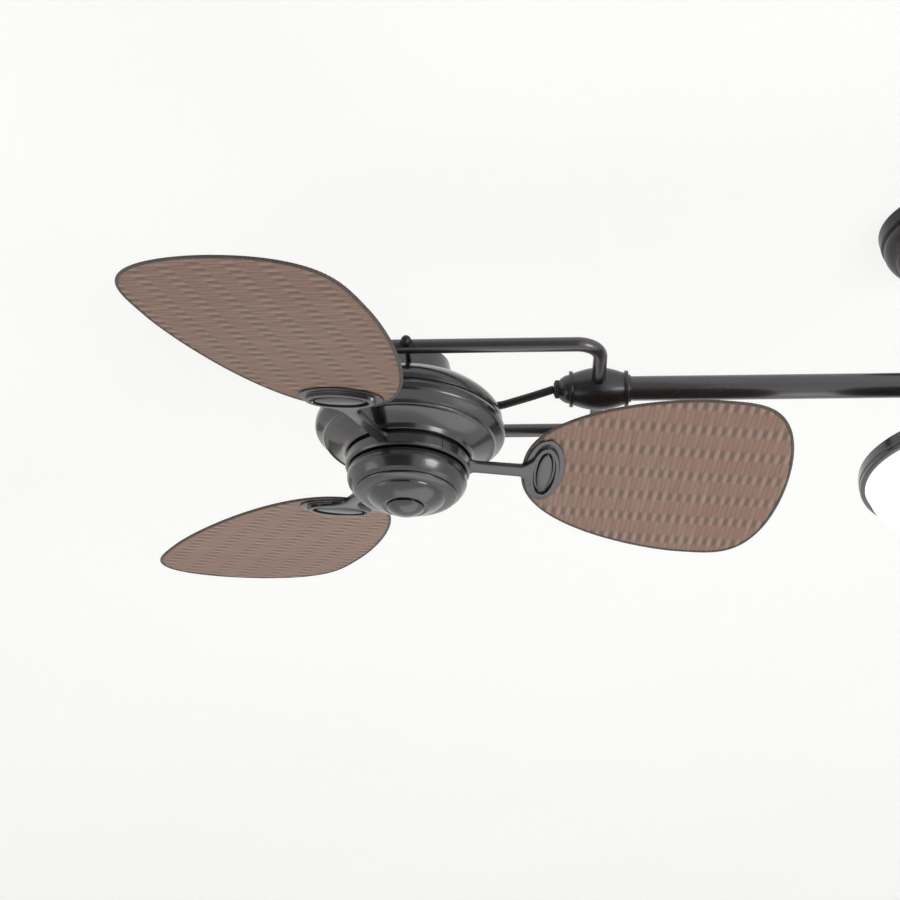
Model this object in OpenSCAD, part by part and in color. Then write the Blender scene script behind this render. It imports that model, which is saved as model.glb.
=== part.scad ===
// Twin head ceiling fan: two tilting motor heads on one cross bar, with a light in the middle.
// Origin: middle of the ceiling face. +Z up, +X along the bars. Everything hangs below Z = 0.
// A head's own frame has its origin where the tilt axis crosses the bar axis, with +X
// towards the middle of the fan. Heights in a head are given as depths below that origin.

/* [Layout] */
// Depth of the bars' axis below the ceiling
bar_drop = 200; // [180:1:320]
// Distance from the middle of the fan to each head's tilt axis
head_reach = 600; // [560:1:760]
// Angle each head is set at, bottom outwards, in degrees
head_tilt = 1.8; // [0:0.1:20]
// Turn of the first blade from the inward bar, in degrees
blade_phase = 6.5; // [0:0.5:30]

/* [Ceiling fixing] */
// Outer radius of the canopy's ceiling band
canopy_r = 81; // [76:1:110]
// Depth of the canopy's ceiling band
canopy_band_h = 15; // [12:1:20]
// Depth of the canopy, all of it
canopy_h = 50; // [49:1:64]
// Wall of the canopy
canopy_wall = 1.4; // [1:0.1:2]
// Thickness of the hanger bracket's steel
bracket_t = 2.5; // [2:0.1:4]
// Width of the hanger bracket's strap
strap_w = 34; // [30:1:44]
// Distance between the two ceiling screw slots
ceiling_hole_gap = 89; // [88:1:96]
// Radius of each ceiling screw slot
ceiling_hole_r = 2.8; // [2.5:0.1:3.2]
// Radius of the hanger ball
ball_r = 25; // [23:1:27]
// Depth of the hanger ball's centre
ball_depth = 28; // [28:1:34]

/* [Tubes and hub] */
// Radius of the downrod and of the two bars
pipe_r = 13.35; // [12:0.05:15]
// Wall of the downrod and of the two bars
pipe_wall = 2.4; // [1.6:0.1:3.2]
// Largest radius of the hub
hub_r = 34; // [30:1:40]
// Height of the hub's body above and below the bars' axis
hub_half_h = 34; // [30:1:44]
// Reach of the hub's bar sockets from the middle
hub_socket_reach = 56; // [48:1:70]
// Radius of the collar round each pipe socket
collar_r = 19.5; // [18:0.5:24]
// Length of the collar round each pipe socket
collar_l = 5.5; // [3:0.5:9]
// Radius of the set screws
set_screw_r = 3; // [2.5:0.5:4]

/* [Light] */
// Outer radius of the light's ring
ring_r = 134; // [120:1:160]
// Height of the light's ring
ring_h = 15; // [13:1:22]
// Depth of the ring's top below the bars' axis
ring_depth = 99; // [90:1:130]
// Depth of the glass bowl below the ring
bowl_depth = 57; // [40:1:70]
// Thickness of the glass
glass_t = 3; // [2:0.5:5]
// Thickness of the pan's sheet
pan_t = 1.5; // [1:0.1:3]
// Radius of each lamp's globe
globe_r = 22.5; // [18:0.5:24]
// Number of lamps
lamp_count = 3; // [2:1:3]

/* [Fork] */
// Distance between the two fork tubes, middle to middle
fork_gap = 183; // [178:1:200]
// Radius of the fork tubes
fork_r = 7.5; // [6:0.5:9]
// Wall of the fork tubes
fork_wall = 1.6; // [1:0.1:2]
// Bend radius of the fork tubes, at their middle line
fork_bend = 25; // [20:1:32]
// Distance from the tilt axis to the fork's cross tubes
fork_reach = 199; // [190:1:230]
// Length of the fork tubes past the tilt axis
fork_tail = 24; // [16:1:40]
// Largest radius of the egg-shaped fitting
egg_r = 23.1; // [20:0.1:28]
// Half the length of the egg-shaped fitting
egg_half = 28; // [24:1:36]
// Thickness of the discs at the fitting's two ends
disc_t = 3.5; // [2:0.5:5]
// Radius of the lead gland's tip
gland_r = 10; // [8:0.5:13]
// Radius of the tilt bolts
bolt_r = 3; // [2.5:0.5:4]
// Distance across the flats of the tilt nuts
nut_flats = 11; // [9:0.5:15]
// Radius of the motor's lead
lead_r = 4.4; // [3:0.1:5]

/* [Motor head] */
// Depth of the top cover's flat top
cover_top = 12.6; // [11:0.2:16]
// Radius of the top cover's upper edge
cover_edge_r = 83.4; // [78:0.2:86]
// Depth of the top cover's upper edge
cover_edge = 14.8; // [13:0.2:20]
// Radius of the seam between the top cover and the housing
seam_r = 97.6; // [94:0.2:100]
// Largest radius of the motor housing
housing_r = 101; // [98:0.2:106]
// Depth of the seam between the top cover and the housing
seam = 40; // [36:1:46]
// Depth of the housing's widest band
wide_band_h = 15; // [10:0.5:16]
// Radius of the housing's bead
bead_r = 90; // [86:0.5:92]
// Depth of the housing's bead
bead = 64; // [62:0.5:68]
// Radius of the housing's bottom edge
mouth_r = 67.2; // [66:0.2:72]
// Depth of the housing's bottom edge
mouth = 81.8; // [80:0.2:84]
// Wall of the covers
cover_wall = 1.8; // [1.2:0.1:3]
// Radius of the bell over the tilt block, at its foot
bell_foot_r = 50; // [49:1:62]
// Radius of the bell, at its top
bell_top_r = 38.5; // [36:0.5:46]
// Height of the bell above the tilt axis
bell_top = 36; // [32:1:44]
// Radius of the tilt block
block_r = 11; // [9:0.5:14]
// Reach of the tilt block to each side
block_reach = 38; // [34:1:40]
// Radius of the motor shaft
shaft_r = 8.5; // [7:0.5:10]
// Radius of the shaft's wiring hole
shaft_bore_r = 5; // [4:0.5:6]

/* [Rotor] */
// Radius of the rotor
rotor_r = 74; // [70:1:78]
// Depth of the rotor's lower face
rotor_base = 74; // [72:1:76]
// Outer radius of the bearings
bearing_r = 17.5; // [15:0.5:20]
// Width of each bearing
bearing_w = 10; // [8:1:12]
// Radius of the flywheel
flywheel_r = 62; // [58:1:63]
// Outer radius of the irons' feet
foot_r = 65.6; // [64:0.2:70]
// Depth of the top of the irons' feet
foot_top = 85.8; // [85:0.2:88]
// Height of the irons' feet
foot_h = 12.8; // [11:0.2:15]

/* [Switch housing] */
// Radius of the recessed band under the rotor
band_r = 62; // [56:0.5:63]
// Depth of the recessed band's top
band_top = 100.6; // [100:0.2:104]
// Depth of the switch housing's top edge
switch_top = 104.2; // [103:0.2:108]
// Largest radius of the switch housing
switch_r = 63; // [60:0.5:66]
// Radius of the step under the switch housing
step_r = 53; // [50:0.5:57]
// Depth of the step under the switch housing
step = 122.8; // [120:0.2:128]
// Radius of the cap's dome, where it rises from the cap's brim
dome_r = 41; // [36:0.5:44]
// Radius of the finial
finial_r = 19.6; // [16:0.2:24]
// Depth of the finial's edge
finial = 140.4; // [138:0.2:146]
// Height of the finial's dome
finial_dome = 7.5; // [5:0.5:12]

/* [Blade irons] */
// Radius at which the medallions sit
medallion_at = 144; // [138:1:160]
// Width of a medallion, along the blade
medallion_w = 42; // [36:1:50]
// Length of a medallion, across the blade
medallion_l = 98; // [80:1:110]
// Thickness of an iron
iron_t = 4; // [3:0.5:6]
// Half width of an iron's neck
neck_half = 9.5; // [7:0.5:13]
// Radius of the screws that hold the irons and blades
screw_r = 2.5; // [2:0.5:3]

/* [Blades] */
// Radius of the blades' tips
blade_tip = 403; // [380:1:440]
// Radius at which the blades start
blade_root = 120; // [114:1:124]
// Radius at which the blades are widest
blade_wide_at = 305; // [280:1:330]
// Largest half width of a blade
blade_half = 126; // [90:0.5:130]
// Pitch of the blades, in degrees
blade_pitch = 12.6; // [8:0.1:15]
// Thickness of a blade's woven panel
panel_t = 2.4; // [2:0.1:5]
// Thickness of a blade's bound rim
rim_t = 3.4; // [3.2:0.1:8]
// Width of a blade's bound rim
rim_w = 5; // [4:0.5:10]
// Depth of the blades' underside at the medallions
blade_depth = 84.6; // [84:0.2:88]

/* [Hidden] */

$fn = 96;
fit = 0.05;          // radial play of a pin or pipe in its hole
seat_gap = 0.3;      // play of a ball or a loose piece on its seat
dark = "#3c3c3e";
darker = "#2b2b2d";
steel = "#9a9ca0";
copper = "#a5603a";
wicker = "#96786e";
opal = "#f4f2ec";

pipe_hole_r = pipe_r + fit;
egg_mid = fork_reach + 0.5;                   // middle of the egg-shaped fitting, from the tilt axis
egg_out = egg_mid - egg_half;                 // its end towards the head
egg_in = egg_mid + egg_half;                  // its end towards the bar
gland_l = 20;
gland_tip = egg_out - gland_l;                // where the lead leaves the gland
bar_start = egg_mid + 9;                      // end of the bar inside the fitting
bar_end = head_reach - 16;                    // end of the bar inside the hub
socket_depth = 9;                             // fork tubes stop this far from the bar's axis
blade_count = 3;
blade_turn = 360 / blade_count;
foot_bottom = foot_top + foot_h;
foot_in_r = 42;
screw_head_r = 4.4;
screw_head_h = 2.6;
iron_screw_at = 53;                           // radius of the iron screws' circle
iron_screw_turn = 30;                         // they stand this far to each side of the blade
blade_screw_gap = 30;                         // blade screws stand this far to each side
rotor_hub_r = 23;
air_gap = 0.8;
rotor_bore_r = 58;
hub_bottom = foot_bottom - 1;                 // lower end of the rotor's bearing hub
stator_mid = 50;
stack_h = 20;
winding_half = 14;                            // half the height of the windings
winding_in_r = 16;
winding_out_r = 48;
winding_edge = 4;                             // width of the windings' rounded edge
shaft_top = 4;
shaft_bottom = 112;
lamp_depth = 96;
stem_r = 12;
holder_r = 13.5;
holder_l = 32;
bowl_rim_r = ring_r - 7.5;
lead_sides = 10;
lead_step = 8;

// ---------------------------------------------------------------- helpers

// The left side is drawn in its own place, the right side is the same turned half round.
module on_side(side) {
    rotate([0, 0, side == "r" ? 180 : 0])
        translate([-head_reach, 0, -bar_drop])
            children();
}

// A head swings about the tilt axis, from plumb to the angle it is set at.
module on_head(side) {
    on_side(side)
        rotate([0, head_tilt, 0])
            children();
}

// Turns a profile of [radius, depth] points about the vertical axis.
module lathe(profile) {
    rotate_extrude()
        polygon([for (p = profile) [p[0], -p[1]]]);
}

// A shell between two outlines of [radius, depth] points, outer one first.
module lathe_shell(outer, inner) {
    lathe(concat(outer, [for (i = [len(inner) - 1:-1:0]) inner[i]]));
}

module ring(outer, inner, top, bottom) {
    lathe([[inner, top], [outer, top], [outer, bottom], [inner, bottom]]);
}

module along_x(from, to, r) {
    translate([from, 0, 0])
        rotate([0, 90, 0])
            cylinder(r = r, h = to - from);
}

module along_y(from, to, r) {
    translate([0, from, 0])
        rotate([-90, 0, 0])
            cylinder(r = r, h = to - from);
}

// A hexagon nut or head along Y, without its hole.
module hex_y(from, to, flats) {
    translate([0, from, 0])
        rotate([-90, 0, 0])
            cylinder(r = flats / sqrt(3), h = to - from, $fn = 6);
}

// Points of an arc from angle a to angle b, middle c.
function arc(c, r, a, b, n) =
    [for (k = [0:n]) let (t = a + (b - a) * k / n) [c[0] + r * cos(t), c[1] + r * sin(t)]];

// Points of a flat oval, length along Y.
function oval(w, l, n = 40) =
    [for (k = [0:n - 1]) let (t = 360 * k / n) [w / 2 * cos(t), l / 2 * sin(t)]];

function shrink(profile, t) = [for (p = profile) [p[0] - t, p[1]]];

// ---------------------------------------------------------------- ceiling fixing

bracket_tab = 12;                              // depth of the strap's turned-down ends
cradle_half = ball_r + 4;                      // half width of the ball's cradle
cradle_top = ball_depth + 10;
cradle_t = 3;
band_inside_r = canopy_r - canopy_wall;
tab_out = band_inside_r - 2.9;                 // outer face of the tabs, clear of the band's taper
canopy_screw_depth = 7;

// The strap that is screwed to the ceiling, with the open cradle that the ball sits in.
module ceiling_bracket() {
    color(steel)
    rotate([0, 0, 90])
    difference() {
        union() {
            translate([-tab_out, -strap_w / 2, -bracket_t])
                cube([2 * tab_out, strap_w, bracket_t]);
            translate([-ball_r, -cradle_half - bracket_t, -bracket_t])
                cube([2 * ball_r, 2 * (cradle_half + bracket_t), bracket_t]);
            for (s = [-1, 1]) {
                translate([s > 0 ? tab_out - bracket_t : -tab_out, -10, -bracket_tab])
                    cube([bracket_t, 20, bracket_tab]);
                translate([-ball_r, s > 0 ? cradle_half : -cradle_half - bracket_t, -cradle_top - cradle_t])
                    cube([2 * ball_r, bracket_t, cradle_top + cradle_t]);
            }
            translate([-ball_r, -cradle_half - bracket_t, -cradle_top - cradle_t])
                cube([2 * ball_r, 2 * (cradle_half + bracket_t), cradle_t]);
        }
        for (s = [-1, 1])
            translate([s * ceiling_hole_gap / 2, 0, -bracket_t - 1])
                cylinder(r = ceiling_hole_r, h = bracket_t + 2);
        translate([0, 0, -ball_depth])
            sphere(r = ball_r + fit);
        translate([0, -pipe_r - 1, -cradle_top - cradle_t - 1])
            cube([ball_r + 1, 2 * (pipe_r + 1), cradle_t + 2]);
        for (s = [-1, 1])
            translate([0, 0, -canopy_screw_depth])
                along_x(s > 0 ? tab_out - bracket_t - 1 : -tab_out - 1,
                    s > 0 ? tab_out + 1 : -tab_out + bracket_t + 1, screw_r + fit);
    }
}

// Half ball at the top of the downrod, cut flat above.
module hanger_ball() {
    color(darker)
    difference() {
        translate([0, 0, -ball_depth])
            intersection() {
                sphere(r = ball_r);
                translate([0, 0, -ball_r - 1])
                    cylinder(r = ball_r + 1, h = ball_r + 1 + 11);
            }
        translate([0, 0, -ball_depth - ball_r - 1])
            cylinder(r = pipe_hole_r, h = 2 * ball_r + 2);
        translate([0, 0, -ball_depth + 5])
            along_y(-ball_r - 1, -pipe_r + 1, set_screw_r + fit);
    }
}

module downrod() {
    color(dark)
        ring(pipe_r, pipe_r - pipe_wall, ball_depth - 11, bar_drop - hub_socket_top);
}

hub_socket_top = 18;                           // the downrod stops this far above the bars' axis

canopy_step = 34;                              // depth of the step under the canopy's bowl

function canopy_outer() = concat(
    [[canopy_r, 0.5], [canopy_r - 1.6, canopy_band_h - 1], [canopy_r - 3, canopy_band_h]],
    arc([canopy_r - 17.5, canopy_step - 14], 13.5, -20, 75, 6),
    [[canopy_r - 16, canopy_step], [canopy_r - 17.5, canopy_step + 3], [canopy_r - 21, canopy_step + 5.5]]);

// Cover against the ceiling: a band, a rounded bowl and a shallow disc round the downrod.
module canopy() {
    hole_r = pipe_r + 1.5;
    outer = canopy_outer();
    color(dark)
    difference() {
        lathe_shell(concat(outer, [[hole_r, canopy_h]]),
            concat(shrink(outer, canopy_wall), [[hole_r, canopy_h - canopy_wall]]));
        for (s = [-1, 1])
            translate([0, 0, -canopy_screw_depth])
                along_y(s > 0 ? band_inside_r - 2 : -canopy_r - 1,
                    s > 0 ? canopy_r + 1 : -band_inside_r + 2, screw_r + fit);
    }
}

ring_screw_turns = [0, 120, 240];
ring_screw_depth = bar_drop + ring_depth + 4;

// A round-head screw along X, its head's underside at zero and its shank towards -X.
module screw(shank) {
    rotate([0, 90, 0]) {
        cylinder(r1 = screw_head_r, r2 = screw_head_r - 1.4, h = screw_head_h - 0.4);
        translate([0, 0, -shank])
            cylinder(r = screw_r, h = shank);
    }
}

// Screws that hold the canopy to the bracket and the ring to the pan.
module cover_screws() {
    color(steel) {
        for (s = [90, 270])
            rotate([0, 0, s])
                translate([canopy_r, 0, -canopy_screw_depth])
                    screw(canopy_r - tab_out + bracket_t);
        for (t = ring_screw_turns)
            rotate([0, 0, t])
                translate([ring_r, 0, -ring_screw_depth])
                    screw(5);
    }
}

// ---------------------------------------------------------------- hub

function hub_outer() = concat(
    [[0, -hub_half_h], [collar_r + 4, -hub_half_h]],
    [for (k = [1:11]) let (z = -hub_half_h + 2 * hub_half_h * k / 12)
        [collar_r + 4 + (hub_r - collar_r - 4) * cos(90 * z / hub_half_h), z]],
    [[collar_r + 4, hub_half_h], [0, hub_half_h]]);

hub_neck = 10;                                 // height of the neck above the hub's body

// Cast hub: two bar sockets, a neck for the downrod and a flat seat for the light.
module hub() {
    color(dark)
    translate([0, 0, -bar_drop])
    difference() {
        union() {
            lathe(hub_outer());
            translate([0, 0, hub_half_h - 2])
                cylinder(r = collar_r - 2, h = hub_neck);
            translate([0, 0, hub_half_h + hub_neck - collar_l])
                cylinder(r = collar_r, h = collar_l);
            for (s = [0, 180])
                rotate([0, 0, s]) {
                    along_x(0, hub_socket_reach, collar_r - 2);
                    along_x(hub_socket_reach - collar_l, hub_socket_reach, collar_r);
                }
        }
        translate([0, 0, hub_socket_top])
            cylinder(r = pipe_hole_r, h = hub_half_h + hub_neck);
        translate([0, 0, -hub_half_h - 1])
            cylinder(r = 8, h = 2 * hub_half_h);
        for (s = [0, 180])
            rotate([0, 0, s])
                along_x(head_reach - bar_end, hub_socket_reach + 1, pipe_hole_r);
        for (s = [0, 180])
            rotate([0, 0, s])
                along_x(-1, head_reach - bar_end + 1, 8);
        for (s = [-1, 1])
            translate([s * hub_screw_at, 0, pipe_r - 1])
                cylinder(r = set_screw_r + fit, h = collar_r - pipe_r + 2);
        translate([0, 0, hub_half_h + 3])
            along_y(-collar_r - 1, -pipe_r, set_screw_r + fit);
    }
}

hub_screw_at = hub_socket_reach - collar_l - 6;

// Set screws that lock the ball, the downrod and the bars.
module set_screws() {
    barrel_screw_at = head_reach - (egg_in - 4);
    color(steel) {
        translate([0, 0, -ball_depth + 5])
            along_y(-pipe_r - 8, -pipe_r, set_screw_r);
        translate([0, 0, -bar_drop + hub_half_h + 3])
            along_y(-collar_r + 2.2, -pipe_r, set_screw_r);
        for (s = [-1, 1]) {
            translate([s * hub_screw_at, 0, -bar_drop + pipe_r])
                cylinder(r = set_screw_r, h = collar_r - 2.2 - pipe_r);
            translate([s * barrel_screw_at, 0, -bar_drop + pipe_r])
                cylinder(r = set_screw_r, h = egg_screw_r - pipe_r);
        }
    }
}

egg_screw_r = 18.2;                            // height of the fitting's set screw head

// ---------------------------------------------------------------- light

ring_top = bar_drop + ring_depth;
ring_bottom = ring_top + ring_h;
pan_top = bar_drop + hub_half_h;
pan_seat_r = 26;
skirt_r = ring_r - 3 - fit;
skirt_h = 8;

// Sheet pan under the hub: a flat seat, a cone, a rim on the ring and a skirt inside it.
module light_pan() {
    slope_t = pan_t * 1.18;
    color(dark)
    difference() {
        lathe([[8, pan_top], [pan_seat_r, pan_top], [ring_r - 5, ring_top - pan_t], [ring_r - 0.4, ring_top - pan_t],
            [ring_r - 0.4, ring_top], [skirt_r, ring_top], [skirt_r, ring_top + skirt_h],
            [skirt_r - pan_t, ring_top + skirt_h], [skirt_r - pan_t, ring_top + 0.2],
            [ring_r - 5 - slope_t, ring_top + 0.2], [pan_seat_r - 0.6, pan_top + slope_t], [stem_r, pan_top + slope_t],
            [stem_r, bar_drop + lamp_depth + holder_r], [8, bar_drop + lamp_depth + holder_r]]);
        for (t = ring_screw_turns)
            rotate([0, 0, t])
                translate([0, 0, -ring_screw_depth])
                    along_x(skirt_r - pan_t - 1, skirt_r + 1, screw_r + fit);
    }
}

// Ring with a plain wall, a groove and a rounded lip that carries the glass.
module light_ring() {
    wall = 3;
    groove = ring_top + ring_h * 0.55;
    lip = ring_bottom - 3;
    color(dark)
    difference() {
        lathe([[ring_r - wall, ring_top], [ring_r, ring_top], [ring_r, groove], [ring_r - 1.4, groove + 0.8],
            [ring_r - 1.4, groove + 2], [ring_r - 0.5, groove + 3], [ring_r - 0.5, lip + 1.2],
            [ring_r - 1.7, ring_bottom - 0.4], [ring_r - 3, ring_bottom], [bowl_rim_r + 1.5, ring_bottom],
            [bowl_rim_r + 1.5, lip], [ring_r - wall, lip]]);
        for (t = ring_screw_turns)
            rotate([0, 0, t])
                translate([0, 0, -ring_screw_depth])
                    along_x(ring_r - wall - 1, ring_r + 1, screw_r + fit);
    }
}

// Opal glass bowl: a flange on the ring's lip and a rounded bowl below it, steep at the rim.
module glass_bowl() {
    lip = ring_bottom - 3;
    sag = bowl_depth + 3;
    inner_r = bowl_rim_r - glass_t;
    color(opal)
    lathe(concat(
        [for (k = [16:-1:0]) let (t = 90 * k / 16) [bowl_rim_r * cos(t), lip + sag * sin(t)]],
        [[bowl_rim_r + 2.5, lip], [bowl_rim_r + 2.5, lip - glass_t], [inner_r, lip - glass_t]],
        [for (k = [0:16]) let (t = 90 * k / 16) [inner_r * cos(t), lip + (sag - glass_t) * sin(t)]]));
}

// Lamp holders stand out from the stem under the pan.
module lamp_holders() {
    color("white")
    for (k = [0:lamp_count - 1])
        rotate([0, 0, 60 + 360 * k / lamp_count])
            translate([0, 0, -bar_drop - lamp_depth])
                difference() {
                    along_x(stem_r - 4, stem_r + holder_l, holder_r);
                    translate([0, 0, -holder_r - 1])
                        cylinder(r = stem_r + fit, h = 2 * holder_r + 2);
                    along_x(stem_r + 6, stem_r + holder_l + 1, holder_r - 2);
                }
}

// Lamps: a cap inside the holder and a round glass globe.
module lamps() {
    color(opal)
    for (k = [0:lamp_count - 1])
        rotate([0, 0, 60 + 360 * k / lamp_count])
            translate([0, 0, -bar_drop - lamp_depth])
                union() {
                    along_x(stem_r + 6.3, stem_r + holder_l + 4, holder_r - 2.3);
                    translate([stem_r + holder_l + 2 + globe_r, 0, 0])
                        sphere(r = globe_r);
                }
}

// ---------------------------------------------------------------- bar, fitting and fork

module bar() {
    color(dark)
        difference() {
            along_x(bar_start, bar_end, pipe_r);
            along_x(bar_start - 1, bar_end + 1, pipe_r - pipe_wall);
        }
}

// Egg-shaped fitting: the bar enters one end, the fork tubes its sides, the lead leaves the other.
module barrel() {
    end_r = collar_r - 2.5;
    color(darker)
    difference() {
        union() {
            translate([egg_mid, 0, 0])
                rotate([0, 90, 0])
                    rotate_extrude()
                        polygon(concat([[0, -egg_half]],
                            [for (k = [0:14]) let (z = egg_half * (2 * k / 14 - 1))
                                [end_r + (egg_r - end_r) * cos(90 * z / egg_half), z]],
                            [[0, egg_half]]));
            along_x(egg_out - disc_t, egg_out + 0.5, collar_r);
            along_x(egg_in - 0.5, egg_in + disc_t, collar_r);
            along_x(egg_in, egg_in + disc_t + 2.7, pipe_r + 1.6);
        }
        along_x(bar_start, egg_in + 20, pipe_hole_r);
        along_x(egg_out - disc_t - 1, bar_start + 1, 6);
        for (s = [-1, 1])
            translate([fork_reach, 0, 0])
                along_y(s > 0 ? socket_depth : -egg_r - 1, s > 0 ? egg_r + 1 : -socket_depth, fork_r + fit);
        translate([egg_in - 4, 0, pipe_r - 1])
            cylinder(r = set_screw_r + fit, h = egg_r + 2 - pipe_r);
    }
}

// Gland that grips the lead: a rounded shoulder, then a ribbed nut.
module gland() {
    ribs = 20;
    seat = egg_out - disc_t;
    nut_l = 6;
    seat_r = collar_r - 4;
    shoulder_l = seat - gland_tip - nut_l;
    color(darker)
    difference() {
        union() {
            translate([gland_tip + nut_l, 0, 0])
                rotate([0, 90, 0])
                    rotate_extrude()
                        polygon(concat([[0, 0]],
                            [for (k = [0:6]) let (t = k / 6)
                                [gland_r + (seat_r - gland_r) * pow(sin(90 * t), 0.9), shoulder_l * t]],
                            [[0, shoulder_l]]));
            along_x(gland_tip + 1, gland_tip + nut_l, gland_r - 0.8);
            for (k = [0:ribs - 1])
                rotate([360 * k / ribs, 0, 0])
                    translate([gland_tip + 1, gland_r - 1.1, -0.6])
                        cube([nut_l - 1, 1.3, 1.2]);
            along_x(gland_tip, gland_tip + 2, gland_r - 2.4);
        }
        along_x(gland_tip + 2.5, seat + 1, lead_r + 0.4);
    }
}

// One fork tube: from its tail past the tilt axis, round the bend and into the fitting.
module fork_tube(side) {
    bend_x = fork_reach - fork_bend;
    bend_y = fork_gap / 2 - fork_bend;
    module run(r, over) {
        translate([0, fork_gap / 2, 0])
            along_x(-fork_tail - over, bend_x, r);
        translate([fork_reach, 0, 0])
            along_y(socket_depth + fit - over, bend_y, r);
        translate([bend_x, bend_y, 0])
            rotate_extrude(angle = 90)
                translate([fork_bend, 0])
                    circle(r = r);
    }
    scale_y = side > 0 ? 0 : 1;
    mirror([0, scale_y, 0])
        difference() {
            union() {
                run(fork_r, 0);
                translate([-fork_tail, fork_gap / 2, 0])
                    sphere(r = fork_r);
            }
            run(fork_r - fork_wall, 0.01);
            along_y(fork_gap / 2 - fork_r - 1, fork_gap / 2 + fork_r + 1, bolt_r + fit);
        }
}

module fork_arms() {
    color(dark)
    for (side = [-1, 1])
        fork_tube(side);
}

pivot_in = 20;                                 // inner end of each tilt bolt, from the middle
pivot_out = fork_gap / 2 + fork_r;             // outer side of the fork
bolt_end = 5;                                  // length of each tilt bolt outside the fork

// Tilt bolts of both heads, fixed in the forks.
module pivot_bolts() {
    color(steel)
    for (side = ["l", "r"])
        on_side(side)
            for (s = [-1, 1])
                along_y(s > 0 ? pivot_in : -pivot_out - bolt_end, s > 0 ? pivot_out + bolt_end : -pivot_in, bolt_r);
}

// Domed nuts outside the forks.
module pivot_nuts() {
    nut_h = 4.5;
    color(dark)
    for (side = ["l", "r"])
        on_side(side)
            for (s = [0, 180])
                rotate([0, 0, s])
                    difference() {
                        union() {
                            hex_y(pivot_out, pivot_out + nut_h, nut_flats);
                            translate([0, pivot_out + nut_h, 0])
                                sphere(r = nut_flats / 2);
                        }
                        along_y(pivot_out - 1, pivot_out + bolt_end + 0.2, bolt_r + fit);
                    }
}

// ---------------------------------------------------------------- the lead

grommet_turn = 18.5;                           // where the lead enters the bell
grommet_depth = 3.2;
grommet_r = 52;                                // face of the grommet, from the head's axis
lead_route = [[142.5, 3, -1.5], [128, 8.8, -3.3], [110, 16.8, -4.6], [94, 22.2, -6.3], [79, 23.6, -6.2],
    [66, 21.9, -5.4]];

function tilted(p) = [p[0] * cos(head_tilt) + p[2] * sin(head_tilt), p[1],
    -p[0] * sin(head_tilt) + p[2] * cos(head_tilt)];
function grommet_way() = [cos(grommet_turn), sin(grommet_turn), 0];

lead_points = concat([[gland_tip, 0, 0]], lead_route,
    [tilted(grommet_way() * (grommet_r + 5) - [0, 0, grommet_depth]),
    tilted(grommet_way() * grommet_r - [0, 0, grommet_depth])]);

// A smooth curve through the points, as position on stretch i at t from 0 to 1.
function pick(p, i) = p[max(0, min(len(p) - 1, i))];
function curve_at(p, i, t) = let (a = pick(p, i - 1), b = pick(p, i), c = pick(p, i + 1), d = pick(p, i + 2))
    0.5 * (2 * b + (c - a) * t + (2 * a - 5 * b + 4 * c - d) * t * t + (3 * b - a - 3 * c + d) * t * t * t);
function unit(v) = v / norm(v);

// A round tube along the points, one mesh, closed at both ends.
module tube(points, r, per, sides, start_way, end_way) {
    path = concat([for (i = [0:len(points) - 2]) for (k = [0:per - 1]) curve_at(points, i, k / per)],
        [points[len(points) - 1]]);
    last = len(path) - 1;
    ways = [for (i = [0:last]) i == 0 ? start_way : i == last ? end_way : unit(path[i + 1] - path[i - 1])];
    rings = [for (i = [0:last]) let (u = unit(cross(ways[i], [0, 0, 1])), v = cross(u, ways[i]))
        for (k = [0:sides - 1]) path[i] + r * (u * cos(360 * k / sides) + v * sin(360 * k / sides))];
    quads = [for (i = [0:last - 1]) for (k = [0:sides - 1]) let (n = (k + 1) % sides)
        [i * sides + k, i * sides + n, (i + 1) * sides + n, (i + 1) * sides + k]];
    polyhedron(points = rings,
        faces = concat(
            [for (q = quads) [q[0], q[1], q[2]]], [for (q = quads) [q[0], q[2], q[3]]],
            [[for (k = [sides - 1:-1:0]) k]], [[for (k = [0:sides - 1]) last * sides + k]]));
}

module lead() {
    color("#161616")
        tube(lead_points, lead_r, 2, lead_sides, [-1, 0, 0], tilted(-grommet_way()));
}

// ---------------------------------------------------------------- head, standing pieces

block_flange_r = 34;
block_neck_r = 16;

// Tilt block: a cross pin boss with a bore at each end, and a flanged neck for the shaft.
module tilt_block() {
    color(darker)
    difference() {
        union() {
            along_y(-block_reach, block_reach, block_r);
            ring(block_neck_r, 0, -block_r + 1, cover_top + 12);
            ring(block_flange_r, 0, cover_top - 4, cover_top);
        }
        for (s = [-1, 1])
            along_y(s > 0 ? pivot_in - 2 : -block_reach - 1, s > 0 ? block_reach + 1 : -pivot_in + 2, bolt_r + fit);
        translate([0, 0, -cover_top - 13])
            cylinder(r = shaft_r + fit, h = cover_top + 13 - shaft_top);
        translate([0, 0, -shaft_top - 1])
            cylinder(r = shaft_bore_r, h = 30);
    }
}

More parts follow.
